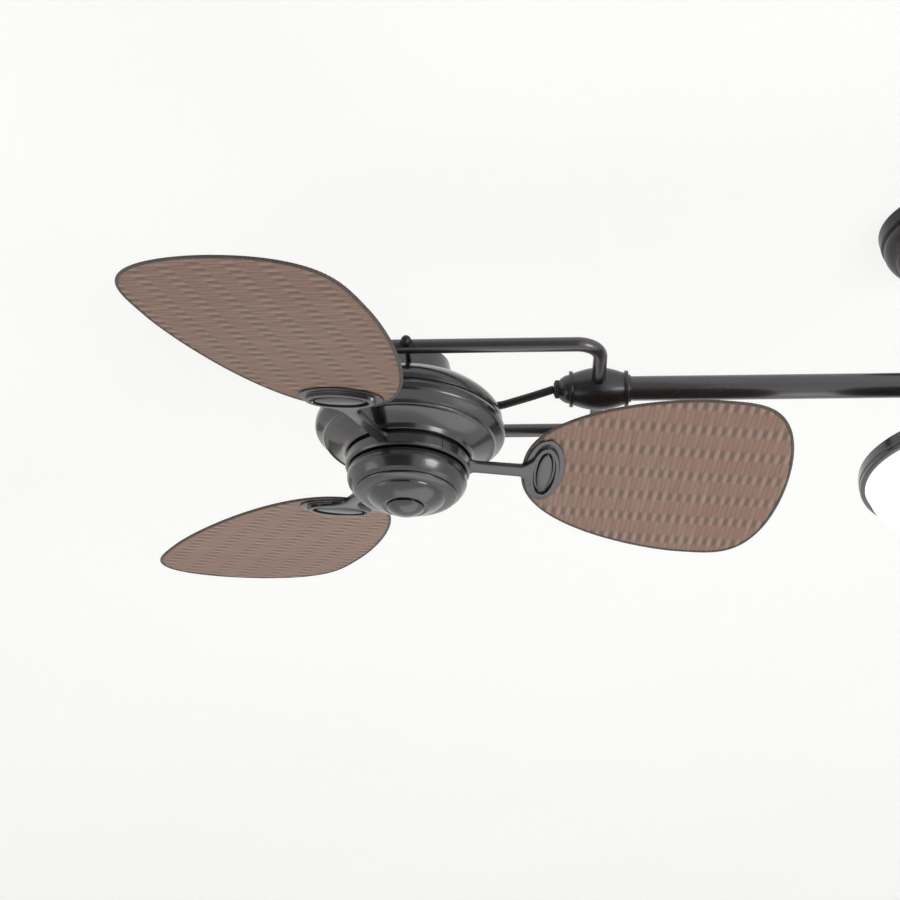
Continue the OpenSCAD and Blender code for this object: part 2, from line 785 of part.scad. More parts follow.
// Bell over the tilt block, with a hole for each tilt bolt and a grommet for the lead.
module bell() {
    top = -bell_top;
    corner = 4;
    outer = concat([[bell_foot_r, cover_top], [bell_foot_r, cover_top - 2]],
        [[bell_top_r + 0.3, top + corner]],
        arc([bell_top_r - corner, top + corner], corner, -20, -90, 4), [[6, top]]);
    inner = concat([[bell_foot_r - cover_wall, cover_top], [bell_foot_r - cover_wall, cover_top - 2]],
        [[bell_top_r - cover_wall, top + corner]],
        [[bell_top_r - corner, top + cover_wall], [6, top + cover_wall]]);
    color(dark)
    difference() {
        union() {
            lathe_shell(outer, inner);
            difference() {
                rotate([0, 0, grommet_turn])
                    translate([0, 0, -grommet_depth])
                        along_x(bell_foot_r - 12, grommet_r, lead_r + 2.5);
                lathe([[0, -bell_top], [bell_foot_r - 6.5, -bell_top + 28], [bell_foot_r - 3.5, cover_top],
                    [0, cover_top]]);
            }
        }
        for (s = [-1, 1])
            along_y(s > 0 ? 30 : -bell_foot_r, s > 0 ? bell_foot_r : -30, bolt_r + 0.6);
    }
}

// Hollow shaft: it hangs from the tilt block and carries stator, bearings and switch plate.
module shaft() {
    color(steel)
        ring(shaft_r, shaft_bore_r, shaft_top, shaft_bottom);
}

// Top cover: a flat top, an edge and a flaring side down to the seam.
module top_cover() {
    bulge = 5;
    outer = concat([[cover_edge_r - 3, cover_top]],
        [for (k = [0:6]) let (t = k / 6)
            [cover_edge_r + (seam_r - cover_edge_r) * t + bulge * sin(180 * t), cover_edge + (seam - 0.4 - cover_edge) * t]]);
    color(dark)
        lathe_shell(concat([[block_neck_r + 0.2, cover_top]], outer),
            concat([[block_neck_r + 0.2, cover_top + cover_wall], [cover_edge_r - 4, cover_top + cover_wall]],
                shrink([for (i = [2:len(outer) - 1]) outer[i]], cover_wall)));
}

function housing_outer() = concat(
    [[seam_r - 1.2, seam - 0.4], [seam_r - 1.2, seam + 0.6], [seam_r + 0.4, seam + 1.4]],
    [for (k = [1:4]) let (t = k / 4) [seam_r + 0.4 + (housing_r - seam_r - 0.4) * sin(90 * t), seam + 1.4 + 6 * t]],
    arc([housing_r - 6, seam + wide_band_h - 4], 6, 0, 60, 4),
    [[bead_r + 3.4, bead - 4.6], [bead_r + 1.2, bead - 2.6]],
    arc([bead_r - 1, bead], 1.8, -30, 90, 4),
    [for (k = [0:6]) let (t = k / 6)
        [bead_r - 3.5 - (bead_r - 3.5 - mouth_r - 1.2) * (1 - pow(1 - t, 1.5)),
        bead + 2.4 + (mouth - 3.4 - bead - 2.4) * t]],
    [[mouth_r, mouth - 0.8], [mouth_r - 0.8, mouth]]);

// Motor housing: the widest band, a bead, and a concave tier that draws in to the mouth.
module motor_housing() {
    outer = housing_outer();
    inner = shrink(outer, cover_wall);
    color(dark)
        lathe_shell(outer, inner);
}

// Stator: a laminated ring with its windings, fixed on the shaft.
module stator() {
    out_r = rotor_bore_r - air_gap;
    color(copper)
        lathe([[shaft_r + fit, stator_mid - winding_half - 2], [winding_in_r, stator_mid - winding_half - 2],
            [winding_in_r, stator_mid - winding_half], [winding_out_r - winding_edge, stator_mid - winding_half],
            [winding_out_r, stator_mid - stack_h / 2], [out_r, stator_mid - stack_h / 2],
            [out_r, stator_mid + stack_h / 2], [winding_out_r, stator_mid + stack_h / 2],
            [winding_out_r - winding_edge, stator_mid + winding_half], [winding_in_r, stator_mid + winding_half],
            [shaft_r + fit, stator_mid + winding_half]]);
}

// ---------------------------------------------------------------- head, turning pieces

// Rotor: a cup round the stator, with the bearing hub below it.
module rotor() {
    top = stator_mid - stack_h / 2 - 4;
    floor_t = 4;
    color(steel)
        lathe([[rotor_bore_r, top], [rotor_r - 3, top], [rotor_r, top + 3], [rotor_r, rotor_base - 12],
            [rotor_r - 12, rotor_base], [rotor_hub_r, rotor_base], [rotor_hub_r, hub_bottom],
            [bearing_r + fit, hub_bottom], [bearing_r + fit, rotor_base - floor_t - 3.4], [rotor_bore_r - 2, rotor_base - floor_t - 3.4],
            [rotor_bore_r, rotor_base - floor_t - 6]]);
}

bearing_tops = [rotor_base - 7, hub_bottom - bearing_w];

module bearings() {
    color(steel)
    for (t = bearing_tops)
        ring(bearing_r, shaft_r + fit, t, t + bearing_w);
}

// Flywheel: a thick disc under the rotor that the irons are screwed to.
module flywheel() {
    color(darker)
    difference() {
        ring(flywheel_r, rotor_hub_r + fit, rotor_base, foot_top);
        iron_screw_holes();
    }
}

module iron_screw_holes() {
    for (b = [0:blade_count - 1])
        for (s = [-1, 1])
            rotate([0, 0, blade_phase + b * blade_turn + s * iron_screw_turn])
                translate([iron_screw_at, 0, -foot_bottom - 1])
                    cylinder(r = screw_r + fit, h = foot_h + 9);
}

// Half width of an iron's arm at radius s: flared at both ends.
function arm_half(s) = let (a = foot_r - 4, b = medallion_at - medallion_w / 2 + 6)
    neck_half + 9 * pow(max(0, 1 - (s - a) / 22), 2) + 16 * pow(max(0, 1 - (b - s) / 26), 2);

function arm_outline() = let (a = flywheel_r + 0.5, b = medallion_at - medallion_w / 2 + 6, n = 10)
    concat([for (k = [0:n]) let (s = a + (b - a) * k / n) [s, arm_half(s)]],
        [for (k = [n:-1:0]) let (s = a + (b - a) * k / n) [s, -arm_half(s)]]);

// Places what lies in the plane of a pitched blade, underside at zero.
module in_blade_plane(number) {
    rotate([0, 0, blade_phase + (number - 1) * blade_turn])
        translate([0, 0, -blade_depth])
            rotate([-blade_pitch, 0, 0])
                children();
}

// Irons: each has a third of the foot ring, an arm and a stepped oval medallion.
module irons() {
    step_t = 1.6;
    foot_turn = blade_turn - 0.6;
    color(dark)
    for (b = [1:blade_count])
        difference() {
            union() {
                rotate([0, 0, blade_phase + (b - 1) * blade_turn - foot_turn / 2])
                    rotate_extrude(angle = foot_turn)
                        polygon([[foot_in_r, -foot_top], [foot_r - 1, -foot_top], [foot_r, -foot_top - 1],
                            [foot_r, -foot_bottom + 2.4], [foot_r - 1.8, -foot_bottom], [foot_in_r, -foot_bottom]]);
                in_blade_plane(b) {
                    translate([0, 0, -iron_t])
                        linear_extrude(iron_t - 0.01)
                            polygon(arm_outline());
                    translate([medallion_at, 0, -iron_t])
                        linear_extrude(iron_t)
                            polygon(oval(medallion_w, medallion_l));
                    translate([medallion_at, 0, -iron_t - step_t])
                        linear_extrude(iron_t)
                            polygon(oval(medallion_w - 7, medallion_l - 8));
                }
            }
            in_blade_plane(b) {
                translate([medallion_at, 0, -iron_t - step_t - 1])
                    linear_extrude(step_t + 1)
                        difference() {
                            polygon(oval(medallion_w - 12, medallion_l - 14));
                            polygon(oval(medallion_w - 19, medallion_l - 26));
                        }
                for (y = [-blade_screw_gap, 0, blade_screw_gap])
                    translate([medallion_at, y, -iron_t + 1])
                        cylinder(r = screw_r + fit, h = iron_t);
            }
            iron_screw_holes();
            ring(mouth_r + 3, foot_in_r - 1, mouth - 6, mouth + 0.8);
            for (s = [-1, 1])
                rotate([0, 0, blade_phase + (b - 1) * blade_turn + s * iron_screw_turn])
                    translate([iron_screw_at, 0, -foot_bottom - 1])
                        cylinder(r = screw_head_r + 0.4, h = 1 + screw_head_h + 0.4);
        }
}

// Screws that hold the irons under the flywheel and the blades on the irons.
module rotor_screws() {
    color(steel)
    for (b = [1:blade_count]) {
        for (s = [-1, 1])
            rotate([0, 0, blade_phase + (b - 1) * blade_turn + s * iron_screw_turn])
                translate([iron_screw_at, 0, -foot_bottom + screw_head_h + 0.4])
                    rotate([0, 90, 0])
                        screw(foot_h + 4);
        in_blade_plane(b)
            for (y = [-blade_screw_gap, 0, blade_screw_gap])
                translate([medallion_at, y, panel_t])
                    rotate([0, -90, 0])
                        screw(panel_t + iron_t - 1.2);
    }
}

// Outline of a leaf-shaped blade of half width w, from radius root to radius tip.
function leaf_inner(w, root, n) = [for (k = [0:n]) let (x = 1 - pow(k / n, 1.8))
    [blade_wide_at - (blade_wide_at - root) * x, w * pow(1 - pow(x, 1.6), 0.42)]];
function leaf_outer(w, tip, n) = [for (k = [1:n]) let (x = sin(90 * k / n))
    [blade_wide_at + (tip - blade_wide_at) * x, w * sqrt(max(0, 1 - pow(x, 4)))]];
function leaf_side(w, root, tip) = concat(leaf_inner(w, root, 12), leaf_outer(w, tip, 12));
function leaf(inset) = let (side = leaf_side(blade_half - inset, blade_root + inset, blade_tip - inset), n = len(side))
    concat(side, [for (k = [n - 2:-1:1]) [side[k][0], -side[k][1]]]);

// One blade: a thin woven panel inside a thicker bound rim.
module blade(number) {
    color(wicker)
    in_blade_plane(number)
        difference() {
            union() {
                linear_extrude(panel_t)
                    polygon(leaf(rim_w - 1));
                linear_extrude(rim_t)
                    difference() {
                        polygon(leaf(0));
                        polygon(leaf(rim_w));
                    }
            }
            for (y = [-blade_screw_gap, 0, blade_screw_gap])
                translate([medallion_at, y, -1])
                    cylinder(r = screw_r + fit, h = panel_t + 2);
        }
}

// ---------------------------------------------------------------- head, below the rotor

// Switch plate: a standing disc on the shaft that shows as the recessed band.
module switch_plate() {
    color("#141416")
        lathe([[shaft_r + fit, band_top], [band_r - 1, band_top], [band_r, band_top + 0.6], [band_r, switch_top],
            [band_r - 6, switch_top], [band_r - 6, switch_top + 3], [18, switch_top + 3],
            [18, shaft_bottom - 2], [shaft_r + fit, shaft_bottom - 2]]);
}

function switch_outer() = concat(
    [[band_r - 4, switch_top], [band_r + 0.5, switch_top]],
    arc([switch_r - 4, switch_top + 4.5], 4, -25, 20, 4),
    [[switch_r - 1.4, step - 9], [step_r + 4.5, step - 3], [step_r + 0.6, step]]);

// Switch housing: rounded shoulder, then a cone to the step.
module switch_housing() {
    outer = switch_outer();
    n = len(outer);
    color(dark)
        lathe(concat(outer, [[step_r - 6, step], [step_r - 6, step - 2]],
            [for (i = [n - 2:-1:2]) outer[i] - [cover_wall + 0.5, 0]],
            [[band_r - 4, switch_top + cover_wall]]));
}

// Cap: a shallow brim under the step, then a dome that draws in to the finial.
module cap() {
    dome_top = step + 4.6;
    dome_end_r = finial_r + 4.4;
    side = concat([[step_r - 0.4, step + 0.3], [step_r, step + 1], [step_r - 0.8, step + 2.2],
        [step_r - 3, step + 3.2], [step_r - 7, step + 4.2], [dome_r + 1.6, step + 4.4]],
        [for (k = [0:6]) let (t = k / 6)
            [dome_r - (dome_r - dome_end_r) * pow(t, 1.35), dome_top + (finial - 1.4 - dome_top) * pow(t, 0.85)]]);
    color(dark)
        lathe(concat([[step_r - 5.4, step + 0.3]], side, [[finial_r - 0.6, finial - 1.6], [8, finial - 1.6], [8, finial - 3.2],
            [finial_r - 2, finial - 3.2]], [for (i = [len(side) - 1:-1:4]) side[i] - [1.2, 1.6]],
            [[step_r - 5.4, step + 1.4]]));
}

// Finial: a flat edge and a low dome, with a stud up into the cap.
module finial() {
    ball = (finial_r * finial_r + finial_dome * finial_dome) / (2 * finial_dome);
    edge = asin(finial_r / ball);
    color(dark)
        lathe(concat([[0, finial - 8], [7.9, finial - 8], [7.9, finial - 1.3], [finial_r, finial - 1.3], [finial_r, finial]],
            [for (k = [8:-1:0]) let (t = edge * k / 8) [ball * sin(t), finial + finial_dome - ball + ball * cos(t)]]));
}

// ---------------------------------------------------------------- the part

ceiling_bracket();
canopy();
cover_screws();
hanger_ball();
downrod();
hub();
set_screws();
light_pan();
light_ring();
glass_bowl();
lamp_holders();
lamps();
pivot_bolts();
pivot_nuts();
on_side("l") bar();  // bar_l
on_side("l") barrel();  // barrel_l
on_side("l") gland();  // gland_l
on_side("l") fork_arms();  // fork_arms_l
on_side("l") lead();  // lead_l
on_head("l") tilt_block();  // tilt_block_l
on_head("l") bell();  // bell_l
on_head("l") shaft();  // shaft_l
on_head("l") top_cover();  // top_cover_l
on_head("l") motor_housing();  // motor_housing_l
on_head("l") stator();  // stator_l
on_head("l") switch_plate();  // switch_plate_l
on_head("l") switch_housing();  // switch_housing_l
on_head("l") cap();  // cap_l
on_head("l") finial();  // finial_l
on_head("l") bearings();  // bearings_l
on_head("l") rotor();  // rotor_l
on_head("l") flywheel();  // flywheel_l
on_head("l") irons();  // irons_l
on_head("l") rotor_screws();  // rotor_screws_l
on_head("l") blade(1);  // blade_1_l
on_head("l") blade(2);  // blade_2_l
on_head("l") blade(3);  // blade_3_l
on_side("r") bar();  // bar_r
on_side("r") barrel();  // barrel_r
on_side("r") gland();  // gland_r
on_side("r") fork_arms();  // fork_arms_r
on_side("r") lead();  // lead_r
on_head("r") tilt_block();  // tilt_block_r
on_head("r") bell();  // bell_r
on_head("r") shaft();  // shaft_r
on_head("r") top_cover();  // top_cover_r
on_head("r") motor_housing();  // motor_housing_r
on_head("r") stator();  // stator_r
on_head("r") switch_plate();  // switch_plate_r
on_head("r") switch_housing();  // switch_housing_r
on_head("r") cap();  // cap_r
on_head("r") finial();  // finial_r
on_head("r") bearings();  // bearings_r
on_head("r") rotor();  // rotor_r
on_head("r") flywheel();  // flywheel_r
on_head("r") irons();  // irons_r
on_head("r") rotor_screws();  // rotor_screws_r
on_head("r") blade(1);  // blade_1_r
on_head("r") blade(2);  // blade_2_r
on_head("r") blade(3);  // blade_3_r
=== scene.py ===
"""Twin head ceiling fan: the looks of its pieces, the stage and the camera."""
import math
from types import SimpleNamespace

import bmesh
import bpy
from mathutils import Matrix, Vector


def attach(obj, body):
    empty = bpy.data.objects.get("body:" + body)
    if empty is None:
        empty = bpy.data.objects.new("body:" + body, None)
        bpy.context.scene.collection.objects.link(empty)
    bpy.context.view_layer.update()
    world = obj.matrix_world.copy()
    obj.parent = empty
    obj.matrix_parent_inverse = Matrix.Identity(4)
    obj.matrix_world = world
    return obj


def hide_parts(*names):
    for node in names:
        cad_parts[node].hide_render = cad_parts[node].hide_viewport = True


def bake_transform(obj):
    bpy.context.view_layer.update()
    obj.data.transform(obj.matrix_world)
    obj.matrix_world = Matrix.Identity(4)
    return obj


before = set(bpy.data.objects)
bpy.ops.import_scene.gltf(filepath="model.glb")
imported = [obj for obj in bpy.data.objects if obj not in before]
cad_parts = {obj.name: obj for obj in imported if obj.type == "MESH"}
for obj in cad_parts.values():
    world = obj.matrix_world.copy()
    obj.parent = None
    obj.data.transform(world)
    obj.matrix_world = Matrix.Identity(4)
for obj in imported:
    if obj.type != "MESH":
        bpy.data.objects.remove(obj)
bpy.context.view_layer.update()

bl_info = {
    "name": "Twin head ceiling fan",
    "version": (1, 0, 0),
    "blender": (4, 5, 0),
    "location": "View3D > Sidebar > Fan",
    "description": "Crossbar ceiling fan with two tilting heads, woven blades and a bowl light",
    "category": "Add Mesh",
}

MM = 0.001
MERGE_GAP = 0.004 * MM
SLIVER = 0.001 * MM
TINY = 1e-6
THIRD = math.tau / 3
WRAP = 4.2  # length of rim in mm that one turn of its splint takes
WIDE_STEPS = 192  # steps round the widest turned pieces
BLADES = (1, 2, 3)
SIDES = {"l": ("head_left", "spinner_left"), "r": ("head_right", "spinner_right")}


def tone(red, green, blue):
    """A colour written as 0 to 255 on a screen, as the linear values that a shader takes."""
    return tuple(
        c / 255 / 12.92 if c < 11 else ((c / 255 + 0.055) / 1.055) ** 2.4
        for c in (red, green, blue)
    )


def length(name, description, value):
    return bpy.props.FloatProperty(
        name=name, description=description, default=value * MM, min=0.0, unit="LENGTH", precision=4
    )


def turn(name, description, value):
    return bpy.props.FloatProperty(
        name=name, description=description, default=math.radians(value), unit="ROTATION"
    )


def colour(name, description, red, green, blue):
    return bpy.props.FloatVectorProperty(
        name=name, description=description, default=tone(red, green, blue), size=3,
        min=0.0, max=1.0, subtype="COLOR",
    )


class FanSizes(bpy.types.PropertyGroup):
    """Sizes of the fan that its pieces are drawn from"""

    bar_drop: length("Bar drop", "Depth of the bars' axis below the ceiling", 200)
    head_reach: length("Head reach", "Distance of a head's axis from the middle", 600)
    head_tilt: turn("Head tilt", "Set angle of a head", 1.8)
    canopy_r: length("Canopy radius", "Radius of the canopy at the ceiling", 81)
    canopy_band_h: length("Canopy band", "Height of the canopy's band", 15)
    canopy_h: length("Canopy height", "Height of the canopy", 50)
    pipe_r: length("Pipe radius", "Outer radius of the bars and the downrod", 13.35)
    hub_r: length("Hub radius", "Radius of the hub", 34)
    hub_half_h: length("Hub half height", "Half the height of the hub", 34)
    hub_socket_reach: length("Socket reach", "Reach of the hub's bar sockets", 56)
    collar_r: length("Collar radius", "Radius of the collars on sockets and fittings", 19.5)
    collar_l: length("Collar length", "Length of a collar on the hub", 5.5)
    disc_t: length("Disc thickness", "Thickness of the discs at a fitting's ends", 3.5)
    ring_r: length("Light ring radius", "Radius of the light's ring", 134)
    ring_h: length("Light ring height", "Height of the light's ring", 15)
    ring_depth: length("Light ring depth", "Depth of the ring below the bars' axis", 99)
    bowl_depth: length("Bowl depth", "Depth of the glass bowl below its ring", 57)
    fork_gap: length("Fork gap", "Distance between a fork's two tubes", 183)
    fork_r: length("Fork tube radius", "Outer radius of the fork's tubes", 7.5)
    fork_bend: length("Fork bend", "Radius of the fork's bends", 25)
    fork_reach: length("Fork reach", "Distance from the tilt axis to the fork's cross part", 199)
    fork_tail: length("Fork tail", "Length of a tube past the tilt axis", 24)
    egg_r: length("Fitting radius", "Radius of the egg-shaped fitting", 23.1)
    egg_half: length("Fitting half length", "Half the length of the egg-shaped fitting", 28)
    gland_r: length("Gland radius", "Radius of the gland's ribbed nut", 10)
    gland_l: length("Gland length", "Distance from the fitting to the gland's tip", 20)
    lead_r: length("Lead radius", "Radius of the lead", 4.4)
    housing_r: length("Housing radius", "Radius of the motor housing", 101)
    seam_r: length("Seam radius", "Radius of the seam under the top cover", 97.6)
    switch_r: length("Switch housing radius", "Radius of the switch housing", 63)
    band_r: length("Band radius", "Radius of the dark band over the switch housing", 62)
    step_r: length("Step radius", "Radius of the step above the cap", 53)
    dome_r: length("Dome radius", "Radius of the cap's dome at its brim", 41)
    finial_r: length("Finial radius", "Radius of the finial", 19.6)
    foot_r: length("Foot radius", "Radius of the irons' foot ring", 65.6)
    medallion_w: length("Medallion width", "Width of a medallion along its blade", 42)
    medallion_l: length("Medallion length", "Length of a medallion across its blade", 98)
    blade_tip: length("Blade tip", "Reach of a blade's tip", 403)
    blade_root: length("Blade root", "Reach of a blade's root", 120)
    blade_wide_at: length("Blade widest at", "Reach of a blade's widest place", 305)
    blade_half: length("Blade half width", "Half the width of a blade", 126)
    blade_depth: length("Blade depth", "Depth of the blades' underside", 84.6)
    blade_pitch: turn("Blade pitch", "Pitch of the blades", 12.6)
    blade_phase: turn("Blade phase", "Turn of the first blade from the bar", 6.5)
    strand: length("Strand pitch", "Distance from strand to strand in the weave", 5.25)
    stake_gap: length("Stake gap", "Distance from stake to stake across a blade", 37)
    stake_w: length("Stake width", "Width of a stake", 14.5)
    first_stake: length("First stake", "Distance of a stake from a blade's middle line", 6.3)
    first_strand: length("First strand", "Reach that the strands are counted from", 1.8)


class FanColours(bpy.types.PropertyGroup):
    """Colours of the fan's finishes"""

    bronze: colour("Dark bronze", "Covers, hub, light and irons", 76, 75, 77)
    bronze_warm: colour("Bronze undertone", "Warmer patches of the bronze", 84, 80, 77)
    black: colour("Black casting", "Fitting, gland, tilt block and flywheel", 74, 73, 78)
    cable: colour("Cable", "Jacket of the leads", 24, 24, 25)
    strand_light: colour("Strand", "Lighter side of the woven strands", 161, 130, 114)
    strand_red: colour("Strand, redder", "Redder strands", 151, 112, 96)
    # Used for stained streaks, and also as painted shade in the grooves between strands.
    strand_dark: colour("Strand shade", "Stained streaks on the strands", 116, 94, 81)
    # Painted highlight: strands are painted lighter where they rise over a stake, as if they caught the
    # light there.
    strand_highlight: colour("Strand crown", "Strands where they rise over a stake", 184, 154, 139)
    # Where stakes show, this colour is partly the stakes' own and partly painted shade under the strands.
    stake: colour("Stake", "Stakes that show between the strands", 98, 80, 71)
    rim: colour("Rim", "Bound rim of a blade", 72, 68, 62)
    opal: colour("Opal glass", "Glass bowl", 248, 247, 243)
    zinc: colour("Zinc steel", "Bracket and shaft", 158, 160, 163)
    copper: colour("Winding", "Stator windings", 168, 96, 58)
    backdrop: colour("Backdrop", "Ceiling and floor", 252, 252, 250)


# ---------------------------------------------------------------- modelling helpers


def sizes():
    """All sizes, lengths in millimetres and turns in radians."""
    props = bpy.context.scene.fan_sizes
    kinds = FanSizes.bl_rna.properties
    return SimpleNamespace(**{
        p.identifier: getattr(props, p.identifier) * (1 / MM if p.unit == "LENGTH" else 1)
        for p in kinds if p.type == "FLOAT"
    })


def colours():
    props = bpy.context.scene.fan_colours
    return SimpleNamespace(**{
        p.identifier: tuple(getattr(props, p.identifier))
        for p in FanColours.bl_rna.properties if p.type == "FLOAT"
    })


def deselect():
    if bpy.context.object and bpy.context.object.mode != "OBJECT":
        bpy.ops.object.mode_set(mode="OBJECT")
    bpy.ops.object.select_all(action="DESELECT")


def activate(*pieces):
    deselect()
    for piece in pieces:
        piece.select_set(True)
    bpy.context.view_layer.objects.active = pieces[0]


def named(name):
    """The primitive just added, under its own name."""
    piece = bpy.context.object
    piece.name = name
    piece.data.name = name
    return piece


def settle(piece):
    """Puts a piece's place into its mesh."""
    activate(piece)
    bpy.ops.object.transform_apply(location=True, rotation=True, scale=True)
    return piece


def tidy(piece, angle=38, weigh=True):
    """Merges doubles, turns faces outwards and shades the piece smooth up to an angle."""
    activate(piece)
    bpy.ops.object.mode_set(mode="EDIT")
    bpy.ops.mesh.select_all(action="SELECT")
    bpy.ops.mesh.remove_doubles(threshold=MERGE_GAP)
    bpy.ops.mesh.dissolve_degenerate(threshold=SLIVER)
    bpy.ops.mesh.select_all(action="SELECT")
    bpy.ops.mesh.normals_make_consistent(inside=False)
    bpy.ops.object.mode_set(mode="OBJECT")
    bpy.ops.object.shade_smooth_by_angle(angle=math.radians(angle))
    if weigh:
        modifier = piece.modifiers.new("weighted", "WEIGHTED_NORMAL")
        modifier.keep_sharp = True
        bpy.ops.object.modifier_apply(modifier=modifier.name)
    return piece


def eased(points, radius, least=18):
    """The closed outline with its corners rounded, except those on the axis."""
    made, count = [], len(points)
    for i, point in enumerate(points):
        here = Vector(point)
        before, after = Vector(points[i - 1]), Vector(points[(i + 1) % count])
        into, out = here - before, after - here
        bend = 0.0 if min(into.length, out.length) < TINY else into.angle(out)
        if math.degrees(bend) < least or here.x < TINY:
            made.append(tuple(here))
            continue
        reach = min(radius * math.tan(bend / 2), 0.42 * into.length, 0.42 * out.length)
        first, last = here - into.normalized() * reach, here + out.normalized() * reach
        steps = 3 if math.degrees(bend) < 100 else 4
        for k in range(steps + 1):
            t = k / steps
            made.append(tuple(first * (1 - t) ** 2 + here * 2 * t * (1 - t) + last * t * t))
    return made


def profile(name, points):
    """A wire through points of (radius, depth) millimetres, left in edit mode with its piece."""
    deselect()
    bpy.ops.mesh.primitive_plane_add(size=MM, location=(points[0][0] * MM, 0, -points[0][1] * MM))
    piece = named(name)
    bpy.ops.object.mode_set(mode="EDIT")
    bpy.ops.mesh.merge(type="CENTER")
    for a, b in zip(points, points[1:]):
        bpy.ops.mesh.extrude_vertices_move(
            TRANSFORM_OT_translate={"value": ((b[0] - a[0]) * MM, 0, (a[1] - b[1]) * MM)}
        )
    return piece


def spun(piece, steps, angle):
    """Spins a profile about the upright axis and leaves edit mode."""
    bpy.ops.mesh.spin(steps=steps, angle=angle, center=(0, 0, 0), axis=(0, 0, 1))
    bpy.ops.object.mode_set(mode="OBJECT")
    return settle(piece)


def lathe(name, outline, steps=144, ease=0.5, axis="Z"):
    """Turns a closed outline of (radius, depth) millimetres about the upright axis, or about X."""
    points = eased(outline, ease)
    piece = profile(name, points)
    on_axis = points[0][0] < TINY and points[-1][0] < TINY
    if not on_axis:
        edit = bmesh.from_edit_mesh(piece.data)
        edit.verts.ensure_lookup_table()
        edit.edges.new((edit.verts[0], edit.verts[-1]))
        bmesh.update_edit_mesh(piece.data)
    bpy.ops.mesh.select_all(action="SELECT")
    spun(piece, steps, math.tau)
    if axis == "X":
        piece.data.transform(Matrix.Rotation(math.radians(90), 4, "Y"))
    return tidy(piece)


def arc(middle, radius, start, end, count):
    return [
        (middle[0] + radius * math.cos(math.radians(start + (end - start) * k / count)),
         middle[1] + radius * math.sin(math.radians(start + (end - start) * k / count)))
        for k in range(count + 1)
    ]


def loft(name, loops, round_loops=True, cap=False, uv=None):
    """A skin over loops of points in millimetres, rolled up from a flat grid."""
    rows, cols = len(loops), len(loops[0]) + (1 if round_loops else 0)
    deselect()
    bpy.ops.mesh.primitive_grid_add(x_subdivisions=cols - 1, y_subdivisions=rows - 1, size=1)
    piece = named(name)
    mesh = piece.data
    flat = [co for loop in loops for p in (list(loop) + [loop[0]] if round_loops else loop)
            for co in (p[0] * MM, p[1] * MM, p[2] * MM)]
    mesh.vertices.foreach_set("co", flat)
    layer = mesh.uv_layers.active
    if uv:
        spots = [0.0] * (2 * len(mesh.loops))
        for i, corner in enumerate(mesh.loops):
            row, col = divmod(corner.vertex_index, cols)
            spots[2 * i], spots[2 * i + 1] = uv(row, col)
        layer.data.foreach_set("uv", spots)
    mesh.update()
    if cap:
        bpy.ops.object.mode_set(mode="EDIT")
        bpy.ops.mesh.select_all(action="SELECT")
        bpy.ops.mesh.remove_doubles(threshold=MERGE_GAP)
        bpy.ops.mesh.select_all(action="DESELECT")
        bpy.ops.mesh.select_mode(type="EDGE")
        bpy.ops.mesh.select_non_manifold(extend=False, use_wire=False, use_multi_face=False,
                                         use_non_contiguous=False, use_verts=False)
        bpy.ops.mesh.edge_face_add()
        bpy.ops.mesh.select_mode(type="VERT")
        bpy.ops.object.mode_set(mode="OBJECT")
    return piece


def swept(name, path, sides, section, closed=False, cap=True, roll=None):
    """A tube along a path; section gives its radii across and up at a length."""
    spots = [Vector(p) for p in path]
    count = len(spots)
    loops, up, run, runs = [], None, 0.0, []
    for i, here in enumerate(spots):
        if closed:
            way = (spots[(i + 1) % count] - spots[i - 1]).normalized()
        else:
            way = (spots[min(i + 1, count - 1)] - spots[max(i - 1, 0)]).normalized()
        if roll is not None:
            up = Vector(roll)
        elif up is None:
            up = Vector((0, 0, 1)) if abs(way.z) < 0.9 else Vector((0, 1, 0))
        side = way.cross(up).normalized()
        up = side.cross(way).normalized()
        run += (here - spots[i - 1]).length if i else 0.0
        runs.append(run)
        wide, high = section(run)
        loops.append([here + side * wide * math.cos(t) + up * high * math.sin(t)
                      for t in (math.tau * k / sides for k in range(sides))])
    if closed:
        runs.append(run + (spots[0] - spots[-1]).length)
        loops.append(loops[0])
    girth = math.tau * section(0)[0] * MM
    return loft(name, loops, cap=cap and not closed,
                uv=lambda row, col: (runs[row] * MM, girth * col / sides))


def join(name, *pieces):
    activate(*pieces)
    bpy.ops.object.join()
    return named(name)


def copied(piece, name, matrix):
    """A copy with its own mesh, moved by a matrix."""
    twin = piece.copy()
    twin.data = piece.data.copy()
    twin.name = name
    twin.data.name = name
    bpy.context.scene.collection.objects.link(twin)
    twin.data.transform(matrix)
    return twin


def drop(piece):
    bpy.data.objects.remove(piece)


def side_matrix(side):
    s = sizes()
    half = Matrix.Rotation(math.pi if side == "r" else 0, 4, "Z")
    return half @ Matrix.Translation((-s.head_reach * MM, 0, -s.bar_drop * MM))


def head_matrix(side):
    return side_matrix(side) @ Matrix.Rotation(sizes().head_tilt, 4, "Y")


def blade_matrix(number):
    """Place of a pitched blade's plane in its head, underside at zero."""
    s = sizes()
    return (Matrix.Rotation(s.blade_phase + (number - 1) * THIRD, 4, "Z")
            @ Matrix.Translation((0, 0, -s.blade_depth * MM))
            @ Matrix.Rotation(-s.blade_pitch, 4, "X"))


def finish_piece(piece, body, slot, paint, *nodes):
    piece.data.materials.clear()
    piece.data.materials.append(material(paint))
    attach(piece, body)
    if nodes:
        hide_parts(*nodes)
    return piece


def both_heads(piece, stem, part, slot, paint, *stems):
    """Puts a head's piece on both sides, on the head (part 0) or on what spins (part 1)."""
    for side, bodies in SIDES.items():
        twin = copied(piece, f"{stem}_{side}", head_matrix(side))
        finish_piece(twin, bodies[part], slot, paint, *[f"{n}_{side}" for n in stems])
    drop(piece)


def both_sides(piece, stem, slot, paint, *stems):
    """Puts a piece of the fixed frame on both sides."""
    for side in SIDES:
        twin = copied(piece, f"{stem}_{side}", side_matrix(side))
        finish_piece(twin, "frame", slot, paint, *[f"{n}_{side}" for n in stems])
    drop(piece)


# ---------------------------------------------------------------- materials


